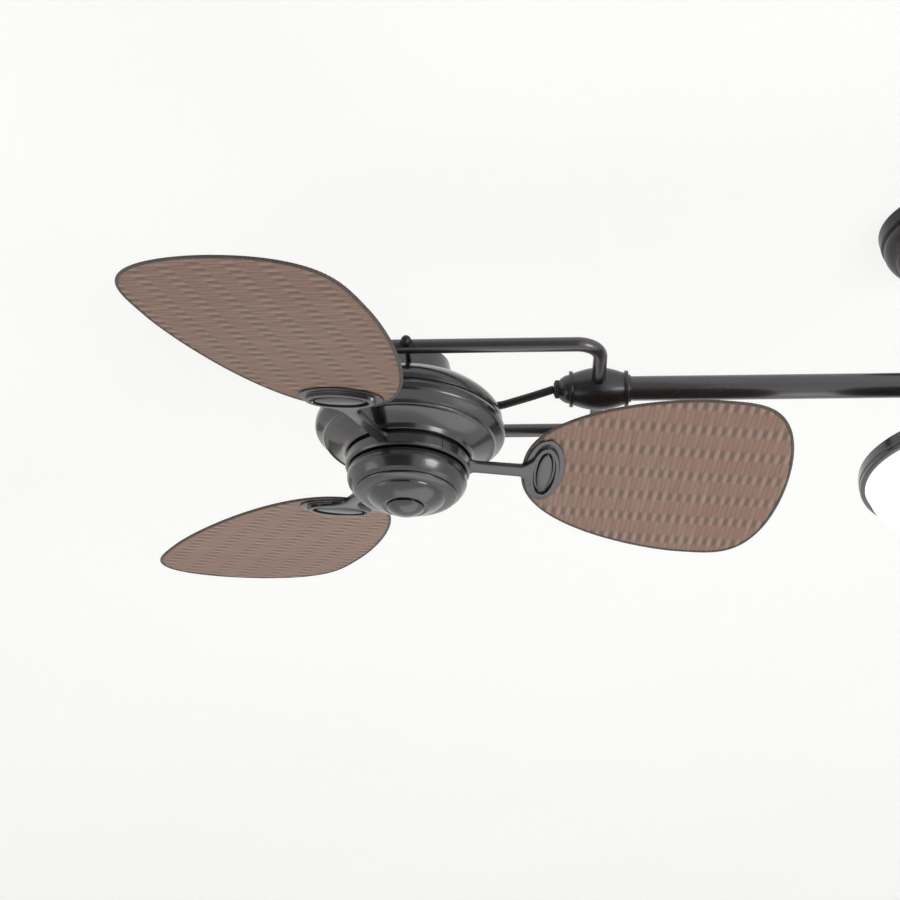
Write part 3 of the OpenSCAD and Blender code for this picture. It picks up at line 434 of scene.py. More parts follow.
class Shader:
    """A short way to write a node tree."""

    def __init__(self, tree):
        self.tree = tree

    def add(self, kind, **sockets):
        """A node with its settings and inputs, whose names have _ for a space."""
        node = self.tree.nodes.new(kind)
        for key, value in sockets.items():
            if hasattr(node, key) and key not in node.inputs:
                setattr(node, key, value)
            else:
                self.feed(node.inputs[key.replace("_", " ")], value)
        return node

    def feed(self, socket, value):
        if isinstance(value, bpy.types.NodeSocket):
            self.tree.links.new(value, socket)
        elif isinstance(value, tuple) and len(value) == 3 and socket.type == "RGBA":
            socket.default_value = (*value, 1.0)
        else:
            socket.default_value = value

    def math(self, operation, a, b=0.0, c=0.0):
        node = self.tree.nodes.new("ShaderNodeMath")
        node.operation = operation
        for socket, value in zip(node.inputs, (a, b, c)):
            self.feed(socket, value)
        return node.outputs[0]

    def blend(self, factor, a, b, how="MIX"):
        """From colour a at 0 to colour b at 1."""
        node = self.tree.nodes.new("ShaderNodeMix")
        node.data_type = "RGBA"
        node.blend_type = how
        self.feed(node.inputs["Factor"], factor)
        self.feed(node.inputs[6], a)
        self.feed(node.inputs[7], b)
        return node.outputs[2]

    def noise(self, vector, scale, detail=3.0, roughness=0.55):
        return self.add("ShaderNodeTexNoise", Vector=vector, Scale=scale, Detail=detail,
                        Roughness=roughness).outputs["Fac"]

    def between(self, value, low, high):
        """0 below low, 1 above high, with a soft change from one to the other."""
        node = self.tree.nodes.new("ShaderNodeMapRange")
        node.interpolation_type = "SMOOTHSTEP"
        self.feed(node.inputs["Value"], value)
        self.feed(node.inputs["From Min"], low)
        self.feed(node.inputs["From Max"], high)
        return node.outputs["Result"]

    def stretch(self, vector, scale):
        return self.add("ShaderNodeMapping", Vector=vector, Scale=scale).outputs[0]

    def bump(self, height, distance, strength):
        return self.add("ShaderNodeBump", Height=height, Distance=distance, Strength=strength).outputs[0]

    def spot(self):
        """Place on the piece, in metres."""
        return self.add("ShaderNodeTexCoord").outputs["Object"]

    def flat(self):
        """The piece's own flat map, in metres."""
        return self.add("ShaderNodeUVMap", uv_map="flat").outputs[0]

    def seen(self):
        """1 where the camera, a reflection or a look through glass sees the surface."""
        rays = self.add("ShaderNodeLightPath").outputs
        return self.math("MAXIMUM", rays["Is Camera Ray"],
                         self.math("MAXIMUM", rays["Is Glossy Ray"], rays["Is Transmission Ray"]))


def blank(block):
    """A material's or world's node tree, emptied."""
    block.use_nodes = True
    block.node_tree.nodes.clear()
    return Shader(block.node_tree)


def group(name, inputs, outputs, build):
    """A node group with named sockets, built once."""
    tree = bpy.data.node_groups.get(name)
    if tree is None:
        tree = bpy.data.node_groups.new(name, "ShaderNodeTree")
        for socket, kind in inputs.items():
            tree.interface.new_socket(socket, in_out="INPUT", socket_type=f"NodeSocket{kind}")
        for socket, kind in outputs.items():
            tree.interface.new_socket(socket, in_out="OUTPUT", socket_type=f"NodeSocket{kind}")
        enter, leave = tree.nodes.new("NodeGroupInput"), tree.nodes.new("NodeGroupOutput")
        for socket, value in build(Shader(tree), enter.outputs).items():
            tree.links.new(value, leave.inputs[socket])
    return tree


def build_mottle(sh, given):
    """Broad and fine variation between two colours."""
    broad = sh.noise(given["Vector"], given["Broad Scale"], 4.0)
    fine = sh.noise(given["Vector"], given["Fine Scale"], 2.0)
    share = sh.math("MULTIPLY", sh.between(broad, 0.38, 0.68), given["Amount"])
    mixed = sh.blend(share, given["Colour"], given["Other"])
    speck = sh.math("MULTIPLY_ADD", sh.math("SUBTRACT", fine, 0.5), given["Speckle"], 1.0)
    grey = sh.add("ShaderNodeCombineColor", Red=speck, Green=speck, Blue=speck).outputs[0]
    return {"Color": sh.blend(1.0, mixed, grey, "MULTIPLY"), "Mask": broad}


def build_skin(sh, given):
    """Orange peel of sprayed paint, with a finer tooth over it."""
    peel = sh.add("ShaderNodeTexVoronoi", feature="SMOOTH_F1", Vector=given["Vector"],
                  Scale=given["Peel Scale"]).outputs["Distance"]
    tooth = sh.noise(given["Vector"], given["Tooth Scale"], 2.0)
    fine = sh.math("MULTIPLY", tooth, given["Tooth"])
    return {"Height": sh.math("MULTIPLY_ADD", peel, given["Peel"], fine)}


def build_edge_wear(sh, given):
    """Mask of the edges where paint rubs thin."""
    rounded = sh.add("ShaderNodeBevel", samples=4, Radius=given["Width"]).outputs[0]
    plain = sh.add("ShaderNodeNewGeometry").outputs["Normal"]
    facing = sh.tree.nodes.new("ShaderNodeVectorMath")
    facing.operation = "DOT_PRODUCT"
    sh.feed(facing.inputs[0], rounded)
    sh.feed(facing.inputs[1], plain)
    edge = sh.between(facing.outputs["Value"], 0.995, 0.90)
    broken = sh.between(sh.noise(given["Vector"], given["Break Scale"], 4.0), 0.40, 0.62)
    return {"Mask": sh.math("MULTIPLY", sh.math("MULTIPLY", edge, broken), given["Amount"])}


def build_weave(sh, given):
    """Over-and-under weave in a blade's own flat map, which is in metres."""
    split = sh.add("ShaderNodeSeparateXYZ", Vector=given["Flat"]).outputs
    along = sh.math("SUBTRACT", split["X"], given["First Strand"])
    along = sh.math("DIVIDE", along, given["Strand Pitch"])
    number = sh.math("FLOOR", along)
    inside = sh.math("SUBTRACT", along, number)
    across = sh.math("DIVIDE", sh.math("ADD", split["Y"], given["First Stake"]), given["Stake Gap"])
    stake = sh.math("ROUND", across)
    away = sh.math("ABSOLUTE", sh.math("SUBTRACT", across, stake))
    away = sh.math("MULTIPLY", away, given["Stake Gap"])
    parity = sh.math("FRACT", sh.math("MULTIPLY", sh.math("ADD", number, stake), 0.5))
    under = sh.math("GREATER_THAN", sh.math("ABSOLUTE", parity), 0.25)
    half = sh.math("MULTIPLY", given["Stake Width"], 0.5)
    near = sh.between(away, sh.math("MULTIPLY", half, 1.45), sh.math("MULTIPLY", half, 0.45))
    edge = sh.between(sh.math("ABSOLUTE", sh.math("SUBTRACT", inside, 0.5)), 0.52, 0.26)
    shows = sh.math("MULTIPLY", sh.math("MULTIPLY", near, under), edge)
    mix = sh.add("ShaderNodeCombineXYZ", X=number).outputs[0]
    white = sh.add("ShaderNodeTexWhiteNoise", noise_dimensions="3D", Vector=mix).outputs["Value"]
    # Stake marks where stakes show, painted darker partly as shade; Groove marks the creases between
    # strands, painted as shade; Bend marks where a strand rises over a stake, painted as a highlight.
    return {"Stake": shows, "Groove": sh.math("SUBTRACT", 1.0, edge), "Strand": white,
            "Bend": sh.math("MULTIPLY", near, sh.math("SUBTRACT", 1.0, under))}


def mottle():
    return group("mottle", {"Vector": "Vector", "Colour": "Color", "Other": "Color",
                            "Broad Scale": "Float", "Fine Scale": "Float", "Amount": "Float",
                            "Speckle": "Float"},
                 {"Color": "Color", "Mask": "Float"}, build_mottle)


def skin():
    return group("paint_skin", {"Vector": "Vector", "Peel Scale": "Float", "Tooth Scale": "Float",
                                "Peel": "Float", "Tooth": "Float"},
                 {"Height": "Float"}, build_skin)


def edge_wear():
    return group("edge_wear",
                 {"Vector": "Vector", "Width": "Float", "Break Scale": "Float", "Amount": "Float"},
                 {"Mask": "Float"}, build_edge_wear)


def weave():
    return group("over_under_weave", {"Flat": "Vector", "Strand Pitch": "Float", "Stake Gap": "Float",
                                      "First Stake": "Float", "First Strand": "Float",
                                      "Stake Width": "Float"},
                 {"Stake": "Float", "Groove": "Float", "Strand": "Float", "Bend": "Float"}, build_weave)


def start_material(name):
    made = bpy.data.materials.new("fan_" + name)
    sh = blank(made)
    surface = sh.add("ShaderNodeBsdfPrincipled")
    leave = sh.add("ShaderNodeOutputMaterial")
    sh.tree.links.new(surface.outputs[0], leave.inputs["Surface"])
    return made, sh, surface


def metal(name, first, other, roughness, metallic=0.85, peel=0.35, wear=0.0, amount=0.35, speckle=0.25,
          peel_scale=900.0, depth=0.04 * MM, coat=0.0, worn=None):
    """A painted or plated metal: mottled colour, paint skin and rubbed edges."""
    made, sh, surface = start_material(name)
    place = sh.spot()
    tint = sh.add("ShaderNodeGroup", node_tree=mottle(), Vector=place, Colour=first, Other=other,
                  Broad_Scale=16.0, Fine_Scale=2400.0, Amount=amount, Speckle=speckle)
    relief = sh.add("ShaderNodeGroup", node_tree=skin(), Vector=place, Peel_Scale=peel_scale,
                    Tooth_Scale=3200.0, Peel=peel, Tooth=0.25)
    paint = tint.outputs["Color"]
    rough = sh.math("MULTIPLY_ADD", sh.math("SUBTRACT", tint.outputs["Mask"], 0.5), 0.22, roughness)
    if wear:
        rubbed = sh.add("ShaderNodeGroup", node_tree=edge_wear(), Vector=place, Width=0.0012,
                        Break_Scale=120.0, Amount=wear).outputs["Mask"]
        paint = sh.blend(rubbed, paint, worn or other)
        rough = sh.math("SUBTRACT", rough, sh.math("MULTIPLY", rubbed, 0.1))
    sh.feed(surface.inputs["Base Color"], paint)
    sh.feed(surface.inputs["Roughness"], rough)
    surface.inputs["Metallic"].default_value = metallic
    surface.inputs["Coat Weight"].default_value = coat
    sh.feed(surface.inputs["Normal"], sh.bump(relief.outputs["Height"], depth, 0.6))
    return made


def wicker_material():
    """Woven strands over flat stakes, in the blade's flat map, with painted highlights on strands over
    stakes and painted shade in the grooves and at the stakes.
    """
    made, sh, surface = start_material("woven_cane")
    c, s = colours(), sizes()
    flat = sh.flat()
    parts = sh.add("ShaderNodeGroup", node_tree=weave(), Flat=flat, Strand_Pitch=s.strand * MM,
                   Stake_Gap=s.stake_gap * MM, Stake_Width=s.stake_w * MM,
                   First_Stake=s.first_stake * MM, First_Strand=s.first_strand * MM).outputs
    fibre = sh.noise(sh.stretch(flat, (2600.0, 60.0, 1.0)), 1.0, 3.0)
    streak = sh.noise(sh.stretch(flat, (420.0, 26.0, 1.0)), 1.0, 4.0)
    drift = sh.noise(sh.stretch(flat, (9.0, 14.0, 1.0)), 1.0, 3.0)
    fibre_stake = sh.noise(sh.stretch(flat, (60.0, 1800.0, 1.0)), 1.0, 3.0)
    redder = sh.math("MULTIPLY", sh.between(parts["Strand"], 0.1, 0.9), 0.7)
    strand = sh.blend(redder, c.strand_light, c.strand_red)
    strand = sh.blend(sh.math("MULTIPLY", sh.between(drift, 0.35, 0.7), 0.45), strand, c.strand_red)
    strand = sh.blend(sh.math("MULTIPLY", sh.between(streak, 0.50, 0.78), 0.5), strand, c.strand_dark)
    # Painted highlight where a strand rises over a stake.
    strand = sh.blend(sh.math("MULTIPLY", parts["Bend"], 0.5), strand, c.strand_highlight)
    grain = sh.math("MULTIPLY_ADD", sh.math("SUBTRACT", fibre, 0.5), 0.35, 1.0)
    grey = sh.add("ShaderNodeCombineColor", Red=grain, Green=grain, Blue=grain).outputs[0]
    strand = sh.blend(1.0, strand, grey, "MULTIPLY")
    # Painted shade: the grooves between strands are darkened towards the strand shade colour.
    strand = sh.blend(sh.math("MULTIPLY", parts["Groove"], 0.5), strand, c.strand_dark)
    # Where a stake shows between strands, the cane takes the stake colour, partly its own and partly
    # painted shade.
    board = sh.blend(sh.between(fibre_stake, 0.3, 0.75), c.stake, c.strand_dark)
    woven = sh.blend(sh.math("MULTIPLY", parts["Stake"], 0.85), strand, board)
    sh.feed(surface.inputs["Base Color"], woven)
    sh.feed(surface.inputs["Roughness"], sh.math("MULTIPLY_ADD", streak, 0.25, 0.42))
    groove = sh.math("MULTIPLY", parts["Groove"], 0.4)
    height = sh.math("SUBTRACT", sh.math("MULTIPLY", fibre, 0.35), groove)
    sh.feed(surface.inputs["Normal"], sh.bump(height, 0.18 * MM, 0.6))
    surface.inputs["Sheen Weight"].default_value = 0.08
    return made


def rim_material():
    """Thin splint wound round a blade's rim, in the rim's own map of length and girth."""
    made, sh, surface = start_material("bound_rim")
    c = colours()
    flat = sh.flat()
    split = sh.add("ShaderNodeSeparateXYZ", Vector=flat).outputs
    slanted = sh.math("MULTIPLY_ADD", split["Y"], 0.35, split["X"])
    wraps = sh.math("DIVIDE", slanted, WRAP * MM)
    number = sh.math("FLOOR", wraps)
    away = sh.math("ABSOLUTE", sh.math("SUBTRACT", sh.math("SUBTRACT", wraps, number), 0.5))
    gap = sh.between(away, 0.36, 0.5)
    pick = sh.add("ShaderNodeTexWhiteNoise", noise_dimensions="1D", W=number).outputs["Value"]
    fibre = sh.noise(sh.stretch(flat, (300.0, 2600.0, 1.0)), 1.0, 3.0)
    base = sh.blend(sh.math("MULTIPLY", pick, 0.55), c.rim, c.strand_dark)
    base = sh.blend(sh.math("MULTIPLY", sh.between(fibre, 0.4, 0.7), 0.4), base, c.stake)
    # Painted shade: the gaps between the turns of splint are darkened almost to black.
    sh.feed(surface.inputs["Base Color"], sh.blend(sh.math("MULTIPLY", gap, 0.7), base, tone(34, 28, 26)))
    surface.inputs["Roughness"].default_value = 0.5
    height = sh.math("SUBTRACT", sh.math("MULTIPLY", fibre, 0.25), gap)
    sh.feed(surface.inputs["Normal"], sh.bump(height, 0.25 * MM, 0.8))
    return made


def cable_material():
    made, sh, surface = start_material("black_cable")
    c = colours()
    flat = sh.flat()
    scuff = sh.noise(sh.stretch(flat, (90.0, 700.0, 1.0)), 1.0, 4.0)
    fine = sh.noise(sh.stretch(flat, (2500.0, 2500.0, 1.0)), 1.0, 2.0)
    sh.feed(surface.inputs["Base Color"],
            sh.blend(sh.math("MULTIPLY", sh.between(scuff, 0.5, 0.75), 0.5), c.cable, tone(52, 52, 54)))
    sh.feed(surface.inputs["Roughness"], sh.math("MULTIPLY_ADD", scuff, 0.3, 0.34))
    sh.feed(surface.inputs["Normal"], sh.bump(fine, 0.05 * MM, 0.5))
    return made


def opal_material():
    """Opal glass: white in the mass, glossy, with faint drifts and a painted glow."""
    made, sh, surface = start_material("opal_glass")
    c = colours()
    place = sh.spot()
    drift = sh.noise(place, 14.0, 3.0)
    milk = sh.blend(sh.between(drift, 0.35, 0.7), c.opal, tone(228, 226, 221))
    sh.feed(surface.inputs["Base Color"], milk)
    sh.feed(surface.inputs["Roughness"], sh.math("MULTIPLY_ADD", drift, 0.12, 0.12))
    surface.inputs["Subsurface Weight"].default_value = 0.25
    surface.inputs["Subsurface Radius"].default_value = (0.02, 0.02, 0.018)
    surface.inputs["Coat Weight"].default_value = 0.3
    # Painted glow: the bowl shines with its own colour, standing in for light from the lamps inside it,
    # which give none.
    surface.inputs["Emission Color"].default_value = (*c.opal, 1.0)
    surface.inputs["Emission Strength"].default_value = 1.0
    sh.feed(surface.inputs["Normal"], sh.bump(drift, 0.6 * MM, 0.4))
    return made


def lamination_material():
    """Windings at the top and bottom and stacked sheets between them."""
    made, sh, surface = start_material("stator_windings")
    c = colours()
    place = sh.spot()
    split = sh.add("ShaderNodeSeparateXYZ", Vector=place).outputs
    sheets = sh.add("ShaderNodeTexWave", Vector=place, bands_direction="Z", Scale=320.0,
                    Distortion=0.0).outputs["Fac"]
    turns = sh.noise(sh.stretch(place, (900.0, 900.0, 60.0)), 1.0, 2.0)
    depth = sh.math("SUBTRACT", sh.math("MULTIPLY", split["Z"], -1.0), (sizes().bar_drop + 50) * MM)
    core = sh.between(sh.math("ABSOLUTE", depth), 0.0115, 0.0105)
    wire = sh.blend(sh.between(turns, 0.35, 0.65), c.copper, tone(110, 58, 34))
    steel = sh.blend(sheets, tone(120, 121, 124), tone(64, 65, 68))
    sh.feed(surface.inputs["Base Color"], sh.blend(core, wire, steel))
    surface.inputs["Metallic"].default_value = 0.8
    sh.feed(surface.inputs["Roughness"], sh.math("MULTIPLY_ADD", turns, 0.2, 0.35))
    height = sh.math("ADD", sh.math("MULTIPLY", sheets, core), turns)
    sh.feed(surface.inputs["Normal"], sh.bump(height, 0.2 * MM, 0.6))
    return made


def metal_recipes(c):
    """Two colours, the roughness and the grain of each painted, plated or moulded finish."""
    return {
        "dark_bronze": (c.bronze, c.bronze_warm, 0.25, {"coat": 0.4}),
        # Painted highlight: the pipes' bronze is made lighter than the covers' bronze to stand in for the
        # highlight along the bars and tubes.
        "bronze_pipe": (tone(88, 86, 90), c.bronze_warm, 0.30, {"amount": 0.2, "coat": 0.3}),
        "black_casting": (c.black, tone(74, 72, 74), 0.36,
                          {"peel": 0.6, "peel_scale": 600.0, "depth": 0.08 * MM, "coat": 0.2}),
        "canopy_bronze": (tone(52, 50, 52), c.bronze_warm, 0.40,
                          {"peel": 1.0, "peel_scale": 420.0, "depth": 0.15 * MM, "coat": 0.2}),
        "black_plate": (tone(24, 24, 26), tone(40, 40, 42), 0.36, {"metallic": 0.4}),
        "dark_screws": (tone(46, 46, 48), tone(96, 92, 88), 0.34,
                        {"wear": 0.6, "worn": tone(120, 116, 110)}),
        "zinc_steel": (c.zinc, tone(132, 134, 130), 0.38,
                       {"metallic": 1.0, "amount": 0.7, "peel_scale": 260.0}),
        "rotor_metal": (tone(140, 141, 143), tone(112, 113, 115), 0.45,
                        {"metallic": 1.0, "peel": 0.8, "peel_scale": 500.0, "depth": 0.1 * MM}),
        "bearing_steel": (tone(176, 177, 180), tone(150, 152, 156), 0.24,
                          {"metallic": 1.0, "peel": 0.1}),
        "black_plastic": (tone(26, 26, 27), tone(38, 38, 40), 0.5,
                          {"metallic": 0.0, "peel": 0.6, "peel_scale": 1400.0, "wear": 0.1}),
        "white_plastic": (tone(236, 234, 228), tone(224, 220, 210), 0.42,
                          {"metallic": 0.0, "speckle": 0.04}),
        "lamp_glass": (tone(242, 240, 234), tone(232, 229, 220), 0.22,
                       {"metallic": 0.0, "speckle": 0.02, "peel": 0.1, "coat": 0.4}),
    }


MAKERS = {
    "woven_cane": wicker_material, "bound_rim": rim_material, "black_cable": cable_material,
    "opal_glass": opal_material, "stator_windings": lamination_material,
}


def material(name):
    """The finish of this name, made at its first use. The CAD's own plain materials have other names."""
    found = bpy.data.materials.get("fan_" + name)
    if found:
        return found
    if name in MAKERS:
        return MAKERS[name]()
    first, other, roughness, grain = metal_recipes(colours())[name]
    return metal(name, first, other, roughness, **grain)


# ---------------------------------------------------------------- outlines, as (radius, depth) in mm


def canopy_outline(s):
    step = 34
    outer = [(s.canopy_r, 0.5), (s.canopy_r - 1.6, s.canopy_band_h - 1),
             (s.canopy_r - 3, s.canopy_band_h)]
    outer += arc((s.canopy_r - 17.5, step - 14), 13.5, -20, 75, 18)
    outer += [(s.canopy_r - 16, step), (s.canopy_r - 17.5, step + 3), (s.canopy_r - 21, step + 5.5),
              (s.pipe_r + 1.5, s.canopy_h)]
    inner = [(r - 1.6, d) for r, d in outer[:-1]] + [(s.pipe_r + 1.5, s.canopy_h - 1.6)]
    return outer + inner[::-1]


def top_cover_outline(s, top=12.6, edge=14.8, edge_r=83.4, seam=40, bulge=5, wall=1.8):
    side = [(edge_r + (s.seam_r - edge_r) * k / 20 + bulge * math.sin(math.pi * k / 20),
             edge + (seam - 0.4 - edge) * k / 20) for k in range(21)]
    outer = [(16.2, top), (edge_r - 3, top)] + side
    inner = [(16.2, top + wall), (edge_r - 4, top + wall)] + [(r - wall, d) for r, d in side[1:]]
    return outer + inner[::-1]


def housing_outline(s, seam=40, band=15, bead_r=90, bead=64, mouth_r=67.2, mouth=81.8, wall=1.8):
    outer = [(s.seam_r - 1.2, seam - 0.4), (s.seam_r - 1.2, seam + 0.6), (s.seam_r + 0.4, seam + 1.4)]
    outer += [(s.seam_r + 0.4 + (s.housing_r - s.seam_r - 0.4) * math.sin(math.pi / 2 * k / 12),
               seam + 1.4 + 6 * k / 12) for k in range(1, 13)]
    outer += arc((s.housing_r - 6, seam + band - 4), 6, 0, 60, 10)
    outer += [(bead_r + 3.4, bead - 4.6), (bead_r + 1.2, bead - 2.6)]
    outer += arc((bead_r - 1, bead), 2.1, -30, 90, 8)
    outer += [(bead_r - 3.5 - (bead_r - 3.5 - mouth_r - 1.2) * (1 - (1 - k / 18) ** 1.5),
               bead + 2.4 + (mouth - 3.4 - bead - 2.4) * k / 18) for k in range(19)]
    outer += [(mouth_r, mouth - 0.8), (mouth_r - 0.8, mouth)]
    return outer + [(r - wall, d) for r, d in outer][::-1]


def switch_outline(s, top=104.2, step=122.8, wall=2.3):
    outer = [(s.band_r - 4, top), (s.band_r + 0.5, top)]
    outer += arc((s.switch_r - 4, top + 4.5), 4, -25, 20, 10)
    outer += [(s.switch_r - 1.4, step - 9), (s.step_r + 4.5, step - 3), (s.step_r + 0.6, step)]
    inner = [(s.step_r - 6, step), (s.step_r - 6, step - 2)]
    inner += [(r - wall, d) for r, d in outer[-2:1:-1]] + [(s.band_r - 4, top + 1.8)]
    return outer + inner


def cap_outline(s, step=122.8, finial=140.4):
    top, end_r = step + 4.6, s.finial_r + 4.4
    brim = [(s.step_r - 0.4, step + 0.3), (s.step_r, step + 1), (s.step_r - 0.8, step + 2.2),
            (s.step_r - 3, step + 3.2), (s.step_r - 7, step + 4.2), (s.dome_r + 1.6, step + 4.4)]
    dome = [(s.dome_r - (s.dome_r - end_r) * (k / 24) ** 1.35,
             top + (finial - 1.4 - top) * (k / 24) ** 0.85) for k in range(25)]
    inner = [(r - 1.2, d - 1.6) for r, d in brim[4:] + dome]
    return ([(s.step_r - 5.4, step + 0.3)] + brim + dome
            + [(s.finial_r - 0.6, finial - 1.6), (8, finial - 1.6), (8, finial - 3.2),
               (s.finial_r - 2, finial - 3.2)]
            + inner[::-1] + [(s.step_r - 5.4, step + 1.4)])


def finial_outline(s, depth=140.4, dome=7.5):
    ball = (s.finial_r ** 2 + dome ** 2) / (2 * dome)
    edge = math.asin(s.finial_r / ball)
    outer = [(0, depth - 8), (7.9, depth - 8), (7.9, depth - 1.3), (s.finial_r, depth - 1.3),
             (s.finial_r, depth)]
    return outer + [(ball * math.sin(edge * k / 16), depth + dome - ball + ball * math.cos(edge * k / 16))
                    for k in range(15, -1, -1)]


def plate_outline(s, top=100.6, bottom=104.2):
    return [(8.6, top), (s.band_r - 1, top), (s.band_r, top + 0.6), (s.band_r, bottom),
            (s.band_r - 6, bottom), (s.band_r - 6, bottom + 3), (18, bottom + 3), (18, 110), (8.6, 110)]


def bell_outline(foot_r=48, top_r=38.5, top=-36, foot=12.6, wall=1.8, corner=4):
    outer = [(foot_r, foot), (foot_r, foot - 2), (top_r + 0.3, top + corner)]
    outer += arc((top_r - corner, top + corner), corner, -20, -90, 10) + [(6, top)]
    inner = [(foot_r - wall, foot), (foot_r - wall, foot - 2), (top_r - wall, top + corner),
             (top_r - corner, top + wall), (6, top + wall)]
    return outer + inner[::-1]


# ---------------------------------------------------------------- blades


def root_share(x):
    """Share of the full width, from the widest place (0) to the root (1)."""
    return (1 - x ** 1.6) ** 0.42


def tip_share(x):
    """Share of the full width, from the widest place (0) to the tip (1)."""
    return math.sqrt(max(0.0, 1 - x ** 4))


def leaf_half(s, reach, inset):
    """Half width of a leaf-shaped blade at a reach, its outline moved in by an inset."""
    root, tip, wide = s.blade_root + inset, s.blade_tip - inset, s.blade_half - inset
    if reach <= s.blade_wide_at:
        x = min(1.0, max(0.0, (s.blade_wide_at - reach) / (s.blade_wide_at - root)))
        return wide * root_share(x)
    x = min(1.0, (reach - s.blade_wide_at) / (tip - s.blade_wide_at))
    return wide * tip_share(x)


def leaf_path(s, inset, count=96):
    """Points round the leaf, from its root along one side, round the tip and back."""
    root, tip, wide = s.blade_root + inset, s.blade_tip - inset, s.blade_half - inset
    side = []
    for k in range(count):
        x = 1 - (k / count) ** 1.8
        side.append((s.blade_wide_at - (s.blade_wide_at - root) * x, wide * root_share(x)))
    for k in range(count):
        x = math.sin(math.pi / 2 * k / count)
        side.append((s.blade_wide_at + (tip - s.blade_wide_at) * x, wide * tip_share(x)))
    side.append((tip, 0.0))
    return side + [(x, -y) for x, y in side[-2:0:-1]]


def respaced(points, gap):
    """A closed outline with its points an equal length apart."""
    spots = [Vector(p) for p in points] + [Vector(points[0])]
    lengths = [(b - a).length for a, b in zip(spots, spots[1:])]
    total = sum(lengths)
    count = round(total / gap)
    made, i, done = [], 0, 0.0
    for k in range(count):
        want = total * k / count
        while done + lengths[i] < want:
            done += lengths[i]
            i += 1
        made.append(spots[i].lerp(spots[i + 1], (want - done) / lengths[i]))
    return made


def woven_height(s, reach, across, face, rise=0.36, spread=9.5, bed=0.16, crown=0.46, stake_h=0.34):
    """Height of the weave over the panel's middle, on its upper (1) or under (-1) face."""
    number = math.floor((reach - s.first_strand) / s.strand)
    inside = (reach - s.first_strand) / s.strand - number
    rounded = math.sqrt(max(0.0, 1 - (2 * inside - 1) ** 2))
    row = round((across + s.first_stake) / s.stake_gap)
    away = (across + s.first_stake) - row * s.stake_gap
    over = 1 if (number + row) % 2 == 0 else -1
    lift = rise * over * math.exp(-((away / spread) ** 2))
    ridge = face * lift + bed + crown * rounded
    board = stake_h * math.sqrt(max(0.0, 1 - (away / (s.stake_w / 2)) ** 2))
    return max(ridge, board) if abs(away) < s.stake_w / 2 else ridge


def woven_panel(s, middle=1.35, lines_per_strand=4, columns=100):
    """Both faces of a woven blade, each a grid over the leaf, closed where they meet at the rim."""
    inset = 2.2
    first, last = s.blade_root + inset, s.blade_tip - inset
    count = math.ceil((last - first) / s.strand * lines_per_strand)
    reaches = [first + (last - first) * k / count for k in range(count + 1)]
    faces = []
    for face in (1, -1):
        loops = []
        for i, reach in enumerate(reaches):
            half = leaf_half(s, reach, inset)
            loop = []
            for k in range(columns + 1):
                share = 2 * k / columns - 1
                across = half * share
                edge = 0.0 if i in (0, count) or k in (0, columns) else 1.0
                height = woven_height(s, reach, across, face) * edge
                loop.append((reach, across, middle + face * height))
            loops.append(loop)
        shift = s.strand if face < 0 else 0.0

        def spot(row, col):
            reach, across, _ = loops[row][col]
            return (reach + shift) * MM, across * MM

        faces.append(loft(f"weave_face_{face + 1}", loops, round_loops=False, uv=spot))
    for face in faces:
        face.data.uv_layers.active.name = "flat"
    panel = join("weave", *faces)
    return tidy(panel, angle=70, weigh=False)


def bound_rim(s, rim_w=3.8, rim_t=3.4):
    """The wound rim: a flat oval section swept round the leaf, swelling a little at each wrap."""
    path = [(x, y, rim_t / 2) for x, y in respaced(leaf_path(s, rim_w / 2), 1.05)]

    def section(run):
        swell = 1 - 0.07 * (0.5 + 0.5 * math.cos(math.tau * run / WRAP))
        return rim_w / 2 * swell, rim_t / 2 * swell

    rim = swept("rim", path, 12, section, closed=True, roll=(0, 0, 1))
    rim.data.uv_layers.active.name = "flat"
    return tidy(rim, angle=60, weigh=False)


# ---------------------------------------------------------------- operators


# The camera that fits the photograph: its place in metres and its axes.
CAMERA_SPOT = (-0.47705, -1.49006, -1.06269)
CAMERA_RIGHT = Vector((0.99877, 0.04755, 0.01380))
CAMERA_UP = Vector((0.01008, -0.46813, 0.88360))
CAMERA_AHEAD = Vector((-0.04847, 0.88238, 0.46803))
SENSOR_W, LENS = 36, 64
CEILING_Z, FLOOR_Z, ROOM_R = 0.0006, -2.4, 9
# How much darker the room is as a light than it looks, and how much of its look is glow.
ROOM_SHADE, ROOM_GLOW = 0.76, 0.88
LAMP_AIM = Vector((-0.3, 0, -0.25))
# Name, place, width and power in watts.
LAMPS = (
    ("key", (2.1, -2.2, -1.8), 1.6, 42.0),
    ("under", (-0.2, 0.5, -2.3), 2.4, 13.0),
    ("fill", (-2.8, -0.6, -1.5), 1.2, 4.0),
)
CARD_CORNERS = {
    "flag_over": [(-1.2, -0.35, -0.02), (-0.3, -0.35, -0.02), (-3.6, -3.2, -0.02), (0.1, -3.2, -0.02)],
    "flag_behind": [(-3.6, -3.2, -0.02), (0.1, -3.2, -0.02), (-3.6, -3.2, -2.35), (0.1, -3.2, -2.35)],
    "flag_below": [(-3.6, -3.2, -2.35), (0.1, -3.2, -2.35), (-2.4, -1.7, -2.35), (-0.2, -1.7, -2.35)],
}


